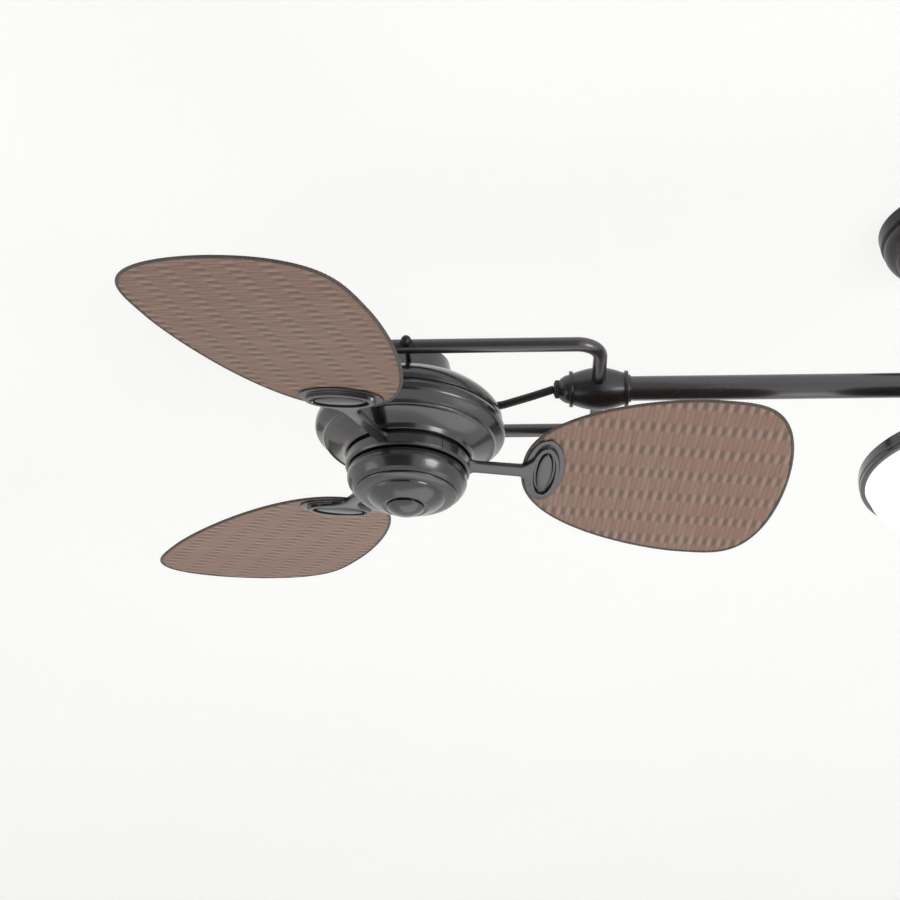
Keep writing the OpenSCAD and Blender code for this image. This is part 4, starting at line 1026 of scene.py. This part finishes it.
class FAN_OT_stage(bpy.types.Operator):
    """Camera, ceiling, floor, white surround, grey cards and lamps"""

    bl_idname = "fan.stage"
    bl_label = "Stage"

    def execute(self, context):
        scene = context.scene
        scene.view_settings.view_transform = "Standard"
        deselect()
        bpy.ops.object.camera_add(location=CAMERA_SPOT)
        camera = context.object
        camera.name = "camera"
        axes = Matrix((CAMERA_RIGHT, CAMERA_UP, -CAMERA_AHEAD)).transposed()
        camera.rotation_mode = "QUATERNION"
        camera.rotation_quaternion = axes.to_quaternion()
        camera.data.sensor_width = SENSOR_W
        camera.data.lens = LENS
        camera.data.clip_start, camera.data.clip_end = 0.05, 60
        scene.camera = camera
        self.backdrop(context)
        self.cards()
        self.lamps(context)
        return {"FINISHED"}

    def backdrop(self, context):
        """A ceiling and a floor that show only from the room's side, and a white surround."""
        made = bpy.data.materials.new("pale_paint")
        sh = blank(made)
        drift = sh.noise(sh.spot(), 1.2, 2.0)
        tint = sh.blend(drift, colours().backdrop, tone(247, 247, 245))
        seen = sh.seen()
        darker = sh.blend(ROOM_SHADE, tint, (0.0, 0.0, 0.0))
        paint = sh.add("ShaderNodeBsdfDiffuse", Color=sh.blend(seen, tint, darker))
        glow = sh.add("ShaderNodeEmission", Color=tint, Strength=sh.math("MULTIPLY", seen, ROOM_GLOW))
        both = sh.add("ShaderNodeAddShader")
        sh.tree.links.new(paint.outputs[0], both.inputs[0])
        sh.tree.links.new(glow.outputs[0], both.inputs[1])
        clear = sh.add("ShaderNodeBsdfTransparent")
        choose = sh.add("ShaderNodeMixShader")
        sh.tree.links.new(sh.add("ShaderNodeNewGeometry").outputs["Backfacing"], choose.inputs[0])
        sh.tree.links.new(both.outputs[0], choose.inputs[1])
        sh.tree.links.new(clear.outputs[0], choose.inputs[2])
        sh.tree.links.new(choose.outputs[0], sh.add("ShaderNodeOutputMaterial").inputs["Surface"])
        for name, height, flip in (("ceiling", CEILING_Z, True), ("floor", FLOOR_Z, False)):
            deselect()
            bpy.ops.mesh.primitive_circle_add(vertices=96, radius=ROOM_R, fill_type="NGON",
                                              location=(0, 0, height))
            sheet = named(name)
            if flip:
                bpy.ops.object.mode_set(mode="EDIT")
                bpy.ops.mesh.select_all(action="SELECT")
                bpy.ops.mesh.flip_normals()
                bpy.ops.object.mode_set(mode="OBJECT")
            settle(sheet)
            sheet.data.materials.append(made)
        world = bpy.data.worlds.new("surround")
        context.scene.world = world
        sh = blank(world)
        shade = sh.blend(sh.seen(), tone(168, 170, 173), (1.0, 1.0, 1.0))
        ground = sh.add("ShaderNodeBackground", Color=shade, Strength=1.0)
        sh.tree.links.new(ground.outputs[0], sh.add("ShaderNodeOutputWorld").inputs["Surface"])

    def cards(self):
        """Grey cards over, behind and under the camera, which only reflections show."""
        card = bpy.data.materials.new("grey_card")
        sh = blank(card)
        height = sh.add("ShaderNodeSeparateXYZ", Vector=sh.spot()).outputs["Z"]
        shade = sh.blend(sh.between(height, -1.4, -0.05), tone(96, 96, 98), tone(162, 162, 163))
        glow = sh.add("ShaderNodeEmission", Color=shade, Strength=1.0)
        sh.tree.links.new(glow.outputs[0], sh.add("ShaderNodeOutputMaterial").inputs["Surface"])
        for name, spots in CARD_CORNERS.items():
            deselect()
            bpy.ops.mesh.primitive_grid_add(x_subdivisions=1, y_subdivisions=1, size=1)
            sheet = named(name)
            for vertex, spot in zip(sheet.data.vertices, spots):
                vertex.co = spot
            sheet.data.materials.append(card)
            sheet.visible_camera = sheet.visible_diffuse = sheet.visible_shadow = False

    def lamps(self, context):
        for name, spot, size, power in LAMPS:
            deselect()
            bpy.ops.object.light_add(type="AREA", location=spot)
            lamp = context.object
            lamp.name = name
            lamp.data.shape = "DISK"
            lamp.data.size = size
            lamp.data.energy = power
            lamp.rotation_mode = "QUATERNION"
            lamp.rotation_quaternion = (LAMP_AIM - Vector(spot)).to_track_quat("-Z", "Y")


# Places that the lead passes between gland and grommet, in mm from the crossing of the tilt axis.
LEAD_ROUTE = [(142.5, 3, -1.5), (128, 8.8, -3.3), (110, 16.8, -4.6), (94, 22.2, -6.3), (79, 23.6, -6.2),
              (66, 21.9, -5.4)]
GROMMET_TURN = math.radians(18.5)
GROMMET_R = 52
GROMMET_DEPTH = 3.2
LEAD_STEPS = 8
RIBS, RIB_DEPTH = 20, 0.9


def smooth(marks, steps):
    """A curve through all marks, with this many steps from each to the next."""
    path = []
    for i in range(len(marks) - 1):
        a, b = marks[max(0, i - 1)], marks[i]
        c, d = marks[i + 1], marks[min(len(marks) - 1, i + 2)]
        for k in range(steps):
            t = k / steps
            path.append(0.5 * (2 * b + (c - a) * t + (2 * a - 5 * b + 4 * c - d) * t ** 2
                               + (3 * b - a - 3 * c + d) * t ** 3))
    return path + [marks[-1]]


def fitting_ends(s):
    """Where the fitting's egg starts and ends along the bar, and the tip of its gland."""
    middle = s.fork_reach + 0.5
    return middle - s.egg_half, middle + s.egg_half, middle - s.egg_half - s.gland_l


class FAN_OT_leads(bpy.types.Operator):
    """The two leads, from gland to grommet"""

    bl_idname = "fan.leads"
    bl_label = "Leads"

    def execute(self, context):
        s = sizes()
        tip = fitting_ends(s)[2]
        tilt = Matrix.Rotation(s.head_tilt, 3, "Y")
        way = Vector((math.cos(GROMMET_TURN), math.sin(GROMMET_TURN), 0))
        ends = [tuple(tilt @ (way * reach - Vector((0, 0, GROMMET_DEPTH))))
                for reach in (GROMMET_R + 5, GROMMET_R)]
        path = smooth([Vector(p) for p in [(tip, 0, 0), *LEAD_ROUTE, *ends]], LEAD_STEPS)
        tube = swept("lead", path, 24, lambda run: (s.lead_r, s.lead_r))
        tube.data.uv_layers.active.name = "flat"
        tidy(tube, weigh=False)
        for side, (head, _) in SIDES.items():
            place = side_matrix(side)
            lead = copied(tube, f"lead_{side}_cable", place)
            lead.data.materials.clear()
            lead.data.materials.append(material("black_cable"))
            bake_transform(lead)
            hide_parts(f"lead_{side}")
        drop(tube)
        return {"FINISHED"}


class FAN_OT_canopy(bpy.types.Operator):
    """Canopy against the ceiling"""

    bl_idname = "fan.canopy"
    bl_label = "Canopy"

    def execute(self, context):
        piece = lathe("canopy_cover", canopy_outline(sizes()), ease=0.8)
        finish_piece(piece, "frame", "dark_bronze", "canopy_bronze", "canopy")
        return {"FINISHED"}


class FAN_OT_light(bpy.types.Operator):
    """Pan, ring and glass bowl of the light"""

    bl_idname = "fan.light"
    bl_label = "Bowl light"

    def execute(self, context):
        s = sizes()
        top = s.bar_drop + s.ring_depth
        lip, rim_r = top + s.ring_h - 3, s.ring_r - 7.5
        self.ring(s, top, lip, rim_r)
        self.pan(s, top)
        self.bowl(s, lip, rim_r)
        return {"FINISHED"}

    def ring(self, s, top, lip, rim_r):
        """The band round the pan, with a groove, and the lip that the bowl lies on."""
        bottom, groove = top + s.ring_h, top + s.ring_h * 0.55
        ring = lathe("light_ring_band", [
            (s.ring_r - 3, top), (s.ring_r, top), (s.ring_r, groove), (s.ring_r - 1.4, groove + 0.8),
            (s.ring_r - 1.4, groove + 2), (s.ring_r - 0.5, groove + 3), (s.ring_r - 0.5, lip + 1.2),
            (s.ring_r - 1.7, bottom - 0.4), (s.ring_r - 3, bottom), (rim_r + 1.5, bottom),
            (rim_r + 1.5, lip), (s.ring_r - 3, lip)], ease=0.6, steps=WIDE_STEPS)
        finish_piece(ring, "frame", "dark_bronze", "dark_bronze", "light_ring")

    def pan(self, s, top, wall=1.5):
        """The cone over the bowl, with its skirt inside the ring and the stem in its middle."""
        pan_top, skirt, stem = s.bar_drop + s.hub_half_h, s.ring_r - 3.05, s.bar_drop + 109.5
        under = pan_top + wall * 1.18
        pan = lathe("light_pan_cone", [
            (8, pan_top), (26, pan_top), (s.ring_r - 5, top - wall), (s.ring_r - 0.4, top - wall),
            (s.ring_r - 0.4, top), (skirt, top), (skirt, top + 8), (skirt - wall, top + 8),
            (skirt - wall, top + 0.2), (s.ring_r - 5 - wall * 1.18, top + 0.2), (25.4, under),
            (12, under), (12, stem), (8, stem)], ease=1.2, steps=WIDE_STEPS)
        finish_piece(pan, "frame", "dark_bronze", "dark_bronze", "light_pan")

    def bowl(self, s, lip, rim_r, wall=3.0):
        """The glass: half an ellipsoid, with a flange that lies on the ring's lip."""
        sag = s.bowl_depth + 3
        turns = [math.pi / 2 * k / 40 for k in range(41)]
        outer = [(rim_r * math.cos(t), lip + sag * math.sin(t)) for t in reversed(turns)]
        outer[0] = (0, lip + sag)
        flange = [(rim_r + 2.5, lip), (rim_r + 2.5, lip - wall), (rim_r - wall, lip - wall)]
        inner = [((rim_r - wall) * math.cos(t), lip + (sag - wall) * math.sin(t)) for t in turns]
        inner[-1] = (0, lip + sag - wall)
        bowl = lathe("glass_bowl_shade", outer + flange + inner, ease=0.8, steps=WIDE_STEPS)
        finish_piece(bowl, "frame", "opal_glass", "opal_glass", "glass_bowl")


class FAN_OT_hub(bpy.types.Operator):
    """Hub with its bar sockets"""

    bl_idname = "fan.hub"
    bl_label = "Hub"

    def execute(self, context):
        s = sizes()
        half, end_r, count = s.hub_half_h, s.collar_r + 4, 28
        body = [(0, -half), (end_r, -half)]
        body += [(end_r + (s.hub_r - end_r) * math.cos(math.pi / 2 * (2 * k / count - 1)),
                  -half + 2 * half * k / count) for k in range(1, count)]
        body += [(end_r, half), (0, half)]
        solids = [lathe("hub_body", body, ease=1.2),
                  lathe("hub_neck", self.socket(s, half - 2, half + 10), ease=1.0, steps=96)]
        socket = lathe("hub_socket", self.socket(s, 10, s.hub_socket_reach), ease=1.0, steps=96, axis="X")
        solids.append(copied(socket, "hub_socket_a", Matrix.Identity(4)))
        solids.append(copied(socket, "hub_socket_b", Matrix.Rotation(math.pi, 4, "Z")))
        drop(socket)
        hub = join("hub_casting", *solids)
        hub.data.transform(Matrix.Translation((0, 0, -s.bar_drop * MM)))
        finish_piece(hub, "frame", "dark_bronze", "dark_bronze", "hub")
        return {"FINISHED"}

    def socket(self, s, start, end):
        """A sleeve from start to end along a pipe, with a collar at its end."""
        bore, neck, shoulder = s.pipe_r + 0.05, s.collar_r - 2, s.collar_l - end
        return [(bore, -start), (neck, -start), (neck, shoulder + 0.6), (s.collar_r - 0.6, shoulder),
                (s.collar_r, shoulder - 0.6), (s.collar_r, -end), (bore, -end)]


class FAN_OT_fork(bpy.types.Operator):
    """Egg-shaped fittings, glands and fork tubes"""

    bl_idname = "fan.fork"
    bl_label = "Fork"

    def execute(self, context):
        s = sizes()
        start, end, _ = fitting_ends(s)
        disc, end_r, count, bar_end = s.disc_t, s.collar_r - 2.5, 32, s.fork_reach + 9.5
        egg = [(end_r + (s.egg_r - end_r) * math.cos(math.pi / 2 * (2 * k / count - 1)),
                -(start + 2 * s.egg_half * k / count)) for k in range(count + 1)]
        outline = [(6, disc - start), (s.collar_r, disc - start), (s.collar_r, -start - 0.5),
                   (end_r + 0.3, -start - 0.5)]
        outline += [p for p in egg if -start - 1.5 > p[1] > 1.5 - end]
        outline += [(end_r + 0.3, 0.5 - end), (s.collar_r, 0.5 - end), (s.collar_r, -end - disc),
                    (s.pipe_r + 1.6, -end - disc), (s.pipe_r + 1.6, -end - disc - 2.7),
                    (s.pipe_r + 0.05, -end - disc - 2.7), (s.pipe_r + 0.05, -bar_end), (6, -bar_end)]
        barrel = lathe("barrel", outline, ease=1.1, axis="X")
        both_sides(barrel, "barrel_fitting", "black_casting", "black_casting", "barrel")
        self.gland(s)
        self.tubes(s)
        return {"FINISHED"}

    def gland(self, s):
        start, _, tip = fitting_ends(s)
        seat, nut, seat_r = start - s.disc_t, tip + 6, s.collar_r - 4
        mouth = s.lead_r + 0.4
        # place along the bar, radius, and share of the ribs' depth
        rows = [(tip + 2.5, mouth, 0), (tip, mouth, 0), (tip, s.gland_r - 3, 0),
                (tip + 0.4, s.gland_r - 2.5, 0), (tip + 1, s.gland_r - 2.2, 0),
                (tip + 1.2, s.gland_r - 1.0, 1), (tip + 1.9, s.gland_r - 0.1, 1),
                (nut - 0.6, s.gland_r - 0.1, 1), (nut, s.gland_r - 0.6, 0.5)]
        rows += [(nut + 0.05 + (seat - nut - 0.05) * k / 12,
                  s.gland_r + (seat_r - s.gland_r) * math.sin(math.pi / 2 * k / 12) ** 0.9, 0)
                 for k in range(13)]
        rows += [(seat, mouth, 0), (tip + 2.5, mouth, 0)]
        loops, sides = [], 160
        for x, radius, rib in rows:
            loop = []
            for k in range(sides):
                t = math.tau * k / sides
                r = radius - rib * RIB_DEPTH * (0.5 - 0.5 * math.tanh(3 * math.cos(RIBS * t)))
                loop.append((x, r * math.cos(t), r * math.sin(t)))
            loops.append(loop)
        gland = tidy(loft("gland", loops), angle=35)
        both_sides(gland, "gland_nut", "black_casting", "black_casting", "gland")

    def tubes(self, s):
        bend_x, half = s.fork_reach - s.fork_bend, s.fork_gap / 2
        bend_y = half - s.fork_bend
        path = [(-s.fork_tail, half, 0), (-s.fork_tail + 4, half, 0), (-6, half, 0), (6, half, 0)]
        path += [(bend_x * k / 6, half, 0) for k in range(1, 6)]
        path += [(bend_x + s.fork_bend * math.sin(t), bend_y + s.fork_bend * math.cos(t), 0)
                 for t in (math.pi / 2 * k / 20 for k in range(21))]
        inner_end = 9.2
        path += [(s.fork_reach, inner_end + (bend_y - inner_end) * k / 3, 0) for k in (2, 1, 0)]
        tube = swept("tube", path, 40, lambda run: (s.fork_r, s.fork_r))
        dome = lathe("tail", [(0, s.fork_tail - 1), (s.fork_r, s.fork_tail - 1), (s.fork_r, s.fork_tail)]
                     + arc((0, s.fork_tail), s.fork_r, 0, 90, 12)[1:], ease=0.0, steps=40)
        lay = Matrix.Rotation(math.radians(90), 4, "Y")
        dome.data.transform(Matrix.Translation((0, half * MM, 0)) @ lay)
        arm = join("arm", tidy(tube), dome)
        other = copied(arm, "arm_b", Matrix.Scale(-1, 4, (0, 1, 0)))
        other.data.flip_normals()
        fork = join("fork", arm, other)
        both_sides(fork, "fork_tubes", "dark_bronze", "bronze_pipe", "fork_arms")


class FAN_OT_nuts(bpy.types.Operator):
    """Domed nuts of the tilt bolts"""

    bl_idname = "fan.nuts"
    bl_label = "Tilt nuts"

    def execute(self, context):
        s = sizes()
        out, high, across = s.fork_gap / 2 + s.fork_r, 4.5, 11.0
        flat_r, dome_r = across / 2, across / 2 * 0.98
        # place along the bolt, radius to a flat, and how far the section is a hexagon
        rows = [(out, 0.0, 1), (out, flat_r - 0.5, 1), (out + 0.3, flat_r, 1),
                (out + high - 0.9, flat_r, 1), (out + high, flat_r - 0.2, 0.55)]
        rows += [(out + high + dome_r * math.sin(t), dome_r * math.cos(t), 0)
                 for t in (math.pi / 2 * k / 10 for k in range(11))]
        loops, sides = [], 72
        for y, flat, share in rows:
            loop = []
            for k in range(sides):
                t = math.tau * k / sides
                near = (t + math.pi / 6) % (math.pi / 3) - math.pi / 6
                r = flat * ((1 - share) + share / math.cos(near))
                loop.append((r * math.sin(t), y, r * math.cos(t)))
            loops.append(loop)
        nut = tidy(loft("nut", loops), angle=28)
        other = copied(nut, "nut_b", Matrix.Rotation(math.pi, 4, "Z"))
        pair = join("nuts", nut, other)
        pairs = [copied(pair, f"nuts_{side}", side_matrix(side)) for side in SIDES]
        drop(pair)
        finish_piece(join("tilt_nuts", *pairs), "frame", "dark_screws", "dark_screws", "pivot_nuts")
        return {"FINISHED"}


# Name, outline, rounding of its corners in mm, finish and CAD node.
HEAD_COVERS = (
    ("head_top_cover", top_cover_outline, 0.9, "dark_bronze", "top_cover"),
    ("head_housing", housing_outline, 0.7, "dark_bronze", "motor_housing"),
    ("head_plate", plate_outline, 0.4, "black_plate", "switch_plate"),
    ("head_switch_housing", switch_outline, 0.8, "dark_bronze", "switch_housing"),
    ("head_cap", cap_outline, 0.4, "dark_bronze", "cap"),
    ("head_finial", finial_outline, 0.5, "dark_bronze", "finial"),
)


class FAN_OT_head(bpy.types.Operator):
    """Turned covers of both heads"""

    bl_idname = "fan.head"
    bl_label = "Head covers"

    def execute(self, context):
        s = sizes()
        for name, outline, ease, finish, node in HEAD_COVERS:
            both_heads(lathe(name, outline(s), ease=ease), name, 0, finish, finish, node)
        self.bell(s)
        return {"FINISHED"}

    def bell(self, s):
        """The bell over the tilt block, its plugged hole and the grommet of the lead."""
        bell = lathe("bell", bell_outline(), ease=0.8)
        outer, inner = s.lead_r + 2.5, s.lead_r + 0.1
        collar = lathe("grommet", [
            (inner, -43), (outer - 0.6, -43), (outer - 0.6, -GROMMET_R + 2.4), (outer, -GROMMET_R + 1.8),
            (outer, -GROMMET_R + 0.5), (outer - 0.6, -GROMMET_R), (inner, -GROMMET_R)],
            ease=0.6, steps=48, axis="X")
        collar.data.transform(Matrix.Rotation(GROMMET_TURN, 4, "Z"))
        collar.data.transform(Matrix.Translation((0, 0, -GROMMET_DEPTH * MM)))
        both_heads(collar, "head_grommet", 0, "dark_bronze", "black_plastic")
        plug = lathe("plug", [
            (0, -34), (5.8, -34), (5.8, -36), (8, -36), (8, -36.5), (5.5, -37.4), (0, -37.8)],
            ease=0.5, steps=48)
        both_heads(plug, "head_hole_plug", 0, "dark_bronze", "black_plastic")
        both_heads(bell, "head_bell", 0, "dark_bronze", "dark_bronze", "bell")


class FAN_OT_irons(bpy.types.Operator):
    """Blade irons with stepped oval medallions"""

    bl_idname = "fan.irons"
    bl_label = "Blade irons"

    def execute(self, context):
        s = sizes()
        thick, step, at = 4.0, 1.6, 144.0
        iron = join("iron", self.medallion(s, thick, step, at), self.arm(s, thick, at))
        irons = [copied(iron, f"iron_{n}", blade_matrix(n)) for n in BLADES]
        drop(iron)
        foot = self.foot(s)
        irons += [copied(foot, f"foot_{n}", Matrix.Rotation(s.blade_phase + (n - 1) * THIRD, 4, "Z"))
                  for n in BLADES]
        drop(foot)
        both_heads(join("irons", *irons), "blade_irons", 1, "dark_bronze", "dark_bronze", "irons")
        return {"FINISHED"}

    def medallion(self, s, thick, step, at):
        """Concentric ovals: seat, thin plate, raised ring, recess and the lens in it."""
        w, l, face, count = s.medallion_w, s.medallion_l, -thick - step, 96
        rows = [(0, 0, 0.0), (w, l, 0.0), (w, l, -0.9), (w - 0.5, l - 0.5, -1.3),
                (w - 1.3, l - 1.3, -1.5), (w - 10.2, l - 14.6, -1.6), (w - 11, l - 15.8, -2.1),
                (w - 11.6, l - 16.8, face + 1.0), (w - 12.2, l - 17.6, face + 0.3),
                (w - 13.2, l - 18.8, face), (w - 18.6, l - 27.6, face), (w - 19.2, l - 28.6, face + 0.4),
                (w - 20, l - 29.8, face + 3.4), (w - 21, l - 31.2, face + 3.9),
                (w - 24.4, l - 35.6, face + 3.9), (w - 25.4, l - 37, face + 3.4),
                (w - 26.6, l - 38.8, face + 1.2), (w - 28, l - 41, face + 0.6),
                (w - 32, l - 47, face + 0.3), (w - 37, l - 60, face + 0.1), (0, 0, face)]
        turns = [math.tau * k / count for k in range(count)]
        loops = [[(at + a / 2 * math.cos(t), b / 2 * math.sin(t), z) for t in turns] for a, b, z in rows]
        return tidy(loft("medallion", loops), angle=42)

    def arm(self, s, thick, at):
        """The arm from the foot ring to the medallion, wider at both ends."""
        start, end, count = s.foot_r - 6, at - s.medallion_w / 2 + 8, 40
        loops = []
        for i in range(count + 1):
            x = start + (end - start) * i / count
            half = 8.1 + 4 * max(0, 1 - (x - start - 2) / 12) ** 2 + 12 * max(0, 1 - (end - x) / 15) ** 2
            low = -thick - 1.3 * min(1.0, 1.2 * i / count)
            ring = [(half, 0.0), (half, low + 1.5), (half - 0.4, low + 0.6), (half - 1.4, low + 0.1),
                    (half - 4, low - 0.25)]
            loops.append([(x, y, min(z, -0.01)) for y, z in ring]
                         + [(x, -y, min(z, -0.01)) for y, z in ring[::-1]])
        return tidy(loft("arm", loops, cap=True), angle=42)

    def foot(self, s, top=85.8, high=12.8, inner=42, turned=119.4):
        """A third of the foot ring, a hair short of its neighbours."""
        bottom = top + high
        outline = [(inner, top), (s.foot_r, top), (s.foot_r, bottom - 2.4), (s.foot_r - 1.8, bottom),
                   (inner, bottom)]
        piece = profile("foot", eased(outline, 1.2))
        bpy.ops.mesh.select_all(action="SELECT")
        bpy.ops.mesh.edge_face_add()
        spun(piece, 48, math.radians(turned))
        middle = sum((Vector(v.co) for v in piece.data.vertices), Vector()) / len(piece.data.vertices)
        piece.data.transform(Matrix.Rotation(-math.atan2(middle.y, middle.x), 4, "Z"))
        return tidy(piece)


class FAN_OT_blades(bpy.types.Operator):
    """Six woven blades with bound rims"""

    bl_idname = "fan.blades"
    bl_label = "Woven blades"

    def execute(self, context):
        s = sizes()
        panel, rim = woven_panel(s), bound_rim(s)
        for side, (_, spinner) in SIDES.items():
            for number in BLADES:
                place = head_matrix(side) @ blade_matrix(number)
                woven = copied(panel, f"blade_{number}_{side}_weave", place)
                finish_piece(woven, spinner, "wicker", "woven_cane", f"blade_{number}_{side}")
                edge = copied(rim, f"blade_{number}_{side}_rim", place)
                finish_piece(edge, spinner, "wicker", "bound_rim")
        drop(panel)
        drop(rim)
        return {"FINISHED"}


NODE_PAINT = {
    "ceiling_bracket": "zinc_steel", "cover_screws": "dark_screws", "hanger_ball": "black_plastic",
    "downrod": "bronze_pipe", "set_screws": "dark_screws", "lamp_holders": "white_plastic",
    "lamps": "lamp_glass", "pivot_bolts": "dark_screws", "bar": "bronze_pipe",
    "tilt_block": "black_casting", "shaft": "zinc_steel", "stator": "stator_windings",
    "bearings": "bearing_steel", "rotor": "rotor_metal", "flywheel": "black_casting",
    "rotor_screws": "dark_screws",
}


class FAN_OT_finishes(bpy.types.Operator):
    """Finishes of the pieces that keep their built shape"""

    bl_idname = "fan.finishes"
    bl_label = "Finishes"

    def execute(self, context):
        for name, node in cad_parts.items():
            stem = name[:-2] if name[-2:] in ("_l", "_r") else name
            paint = NODE_PAINT.get(stem)
            if paint is None or node.hide_render:
                continue
            node.data.materials.clear()
            node.data.materials.append(material(paint))
        return {"FINISHED"}


class FAN_PT_panel(bpy.types.Panel):
    """Lists the steps that make the fan"""

    bl_idname = "FAN_PT_panel"
    bl_label = "Twin head fan"
    bl_space_type = "VIEW_3D"
    bl_region_type = "UI"
    bl_category = "Fan"

    def draw(self, context):
        for step in STEPS:
            self.layout.operator(step.bl_idname)


STEPS = (FAN_OT_stage, FAN_OT_leads, FAN_OT_canopy, FAN_OT_light, FAN_OT_hub, FAN_OT_fork, FAN_OT_nuts,
         FAN_OT_head, FAN_OT_irons, FAN_OT_blades, FAN_OT_finishes)
CLASSES = (FanSizes, FanColours, *STEPS, FAN_PT_panel)


def register():
    for item in CLASSES:
        bpy.utils.register_class(item)
    bpy.types.Scene.fan_sizes = bpy.props.PointerProperty(type=FanSizes)
    bpy.types.Scene.fan_colours = bpy.props.PointerProperty(type=FanColours)


def unregister():
    del bpy.types.Scene.fan_sizes
    del bpy.types.Scene.fan_colours
    for item in reversed(CLASSES):
        bpy.utils.unregister_class(item)


def main():
    register()
    for step in STEPS:
        getattr(bpy.ops.fan, step.bl_idname.removeprefix("fan."))()
    deselect()


if __name__ == "__main__":
    main()
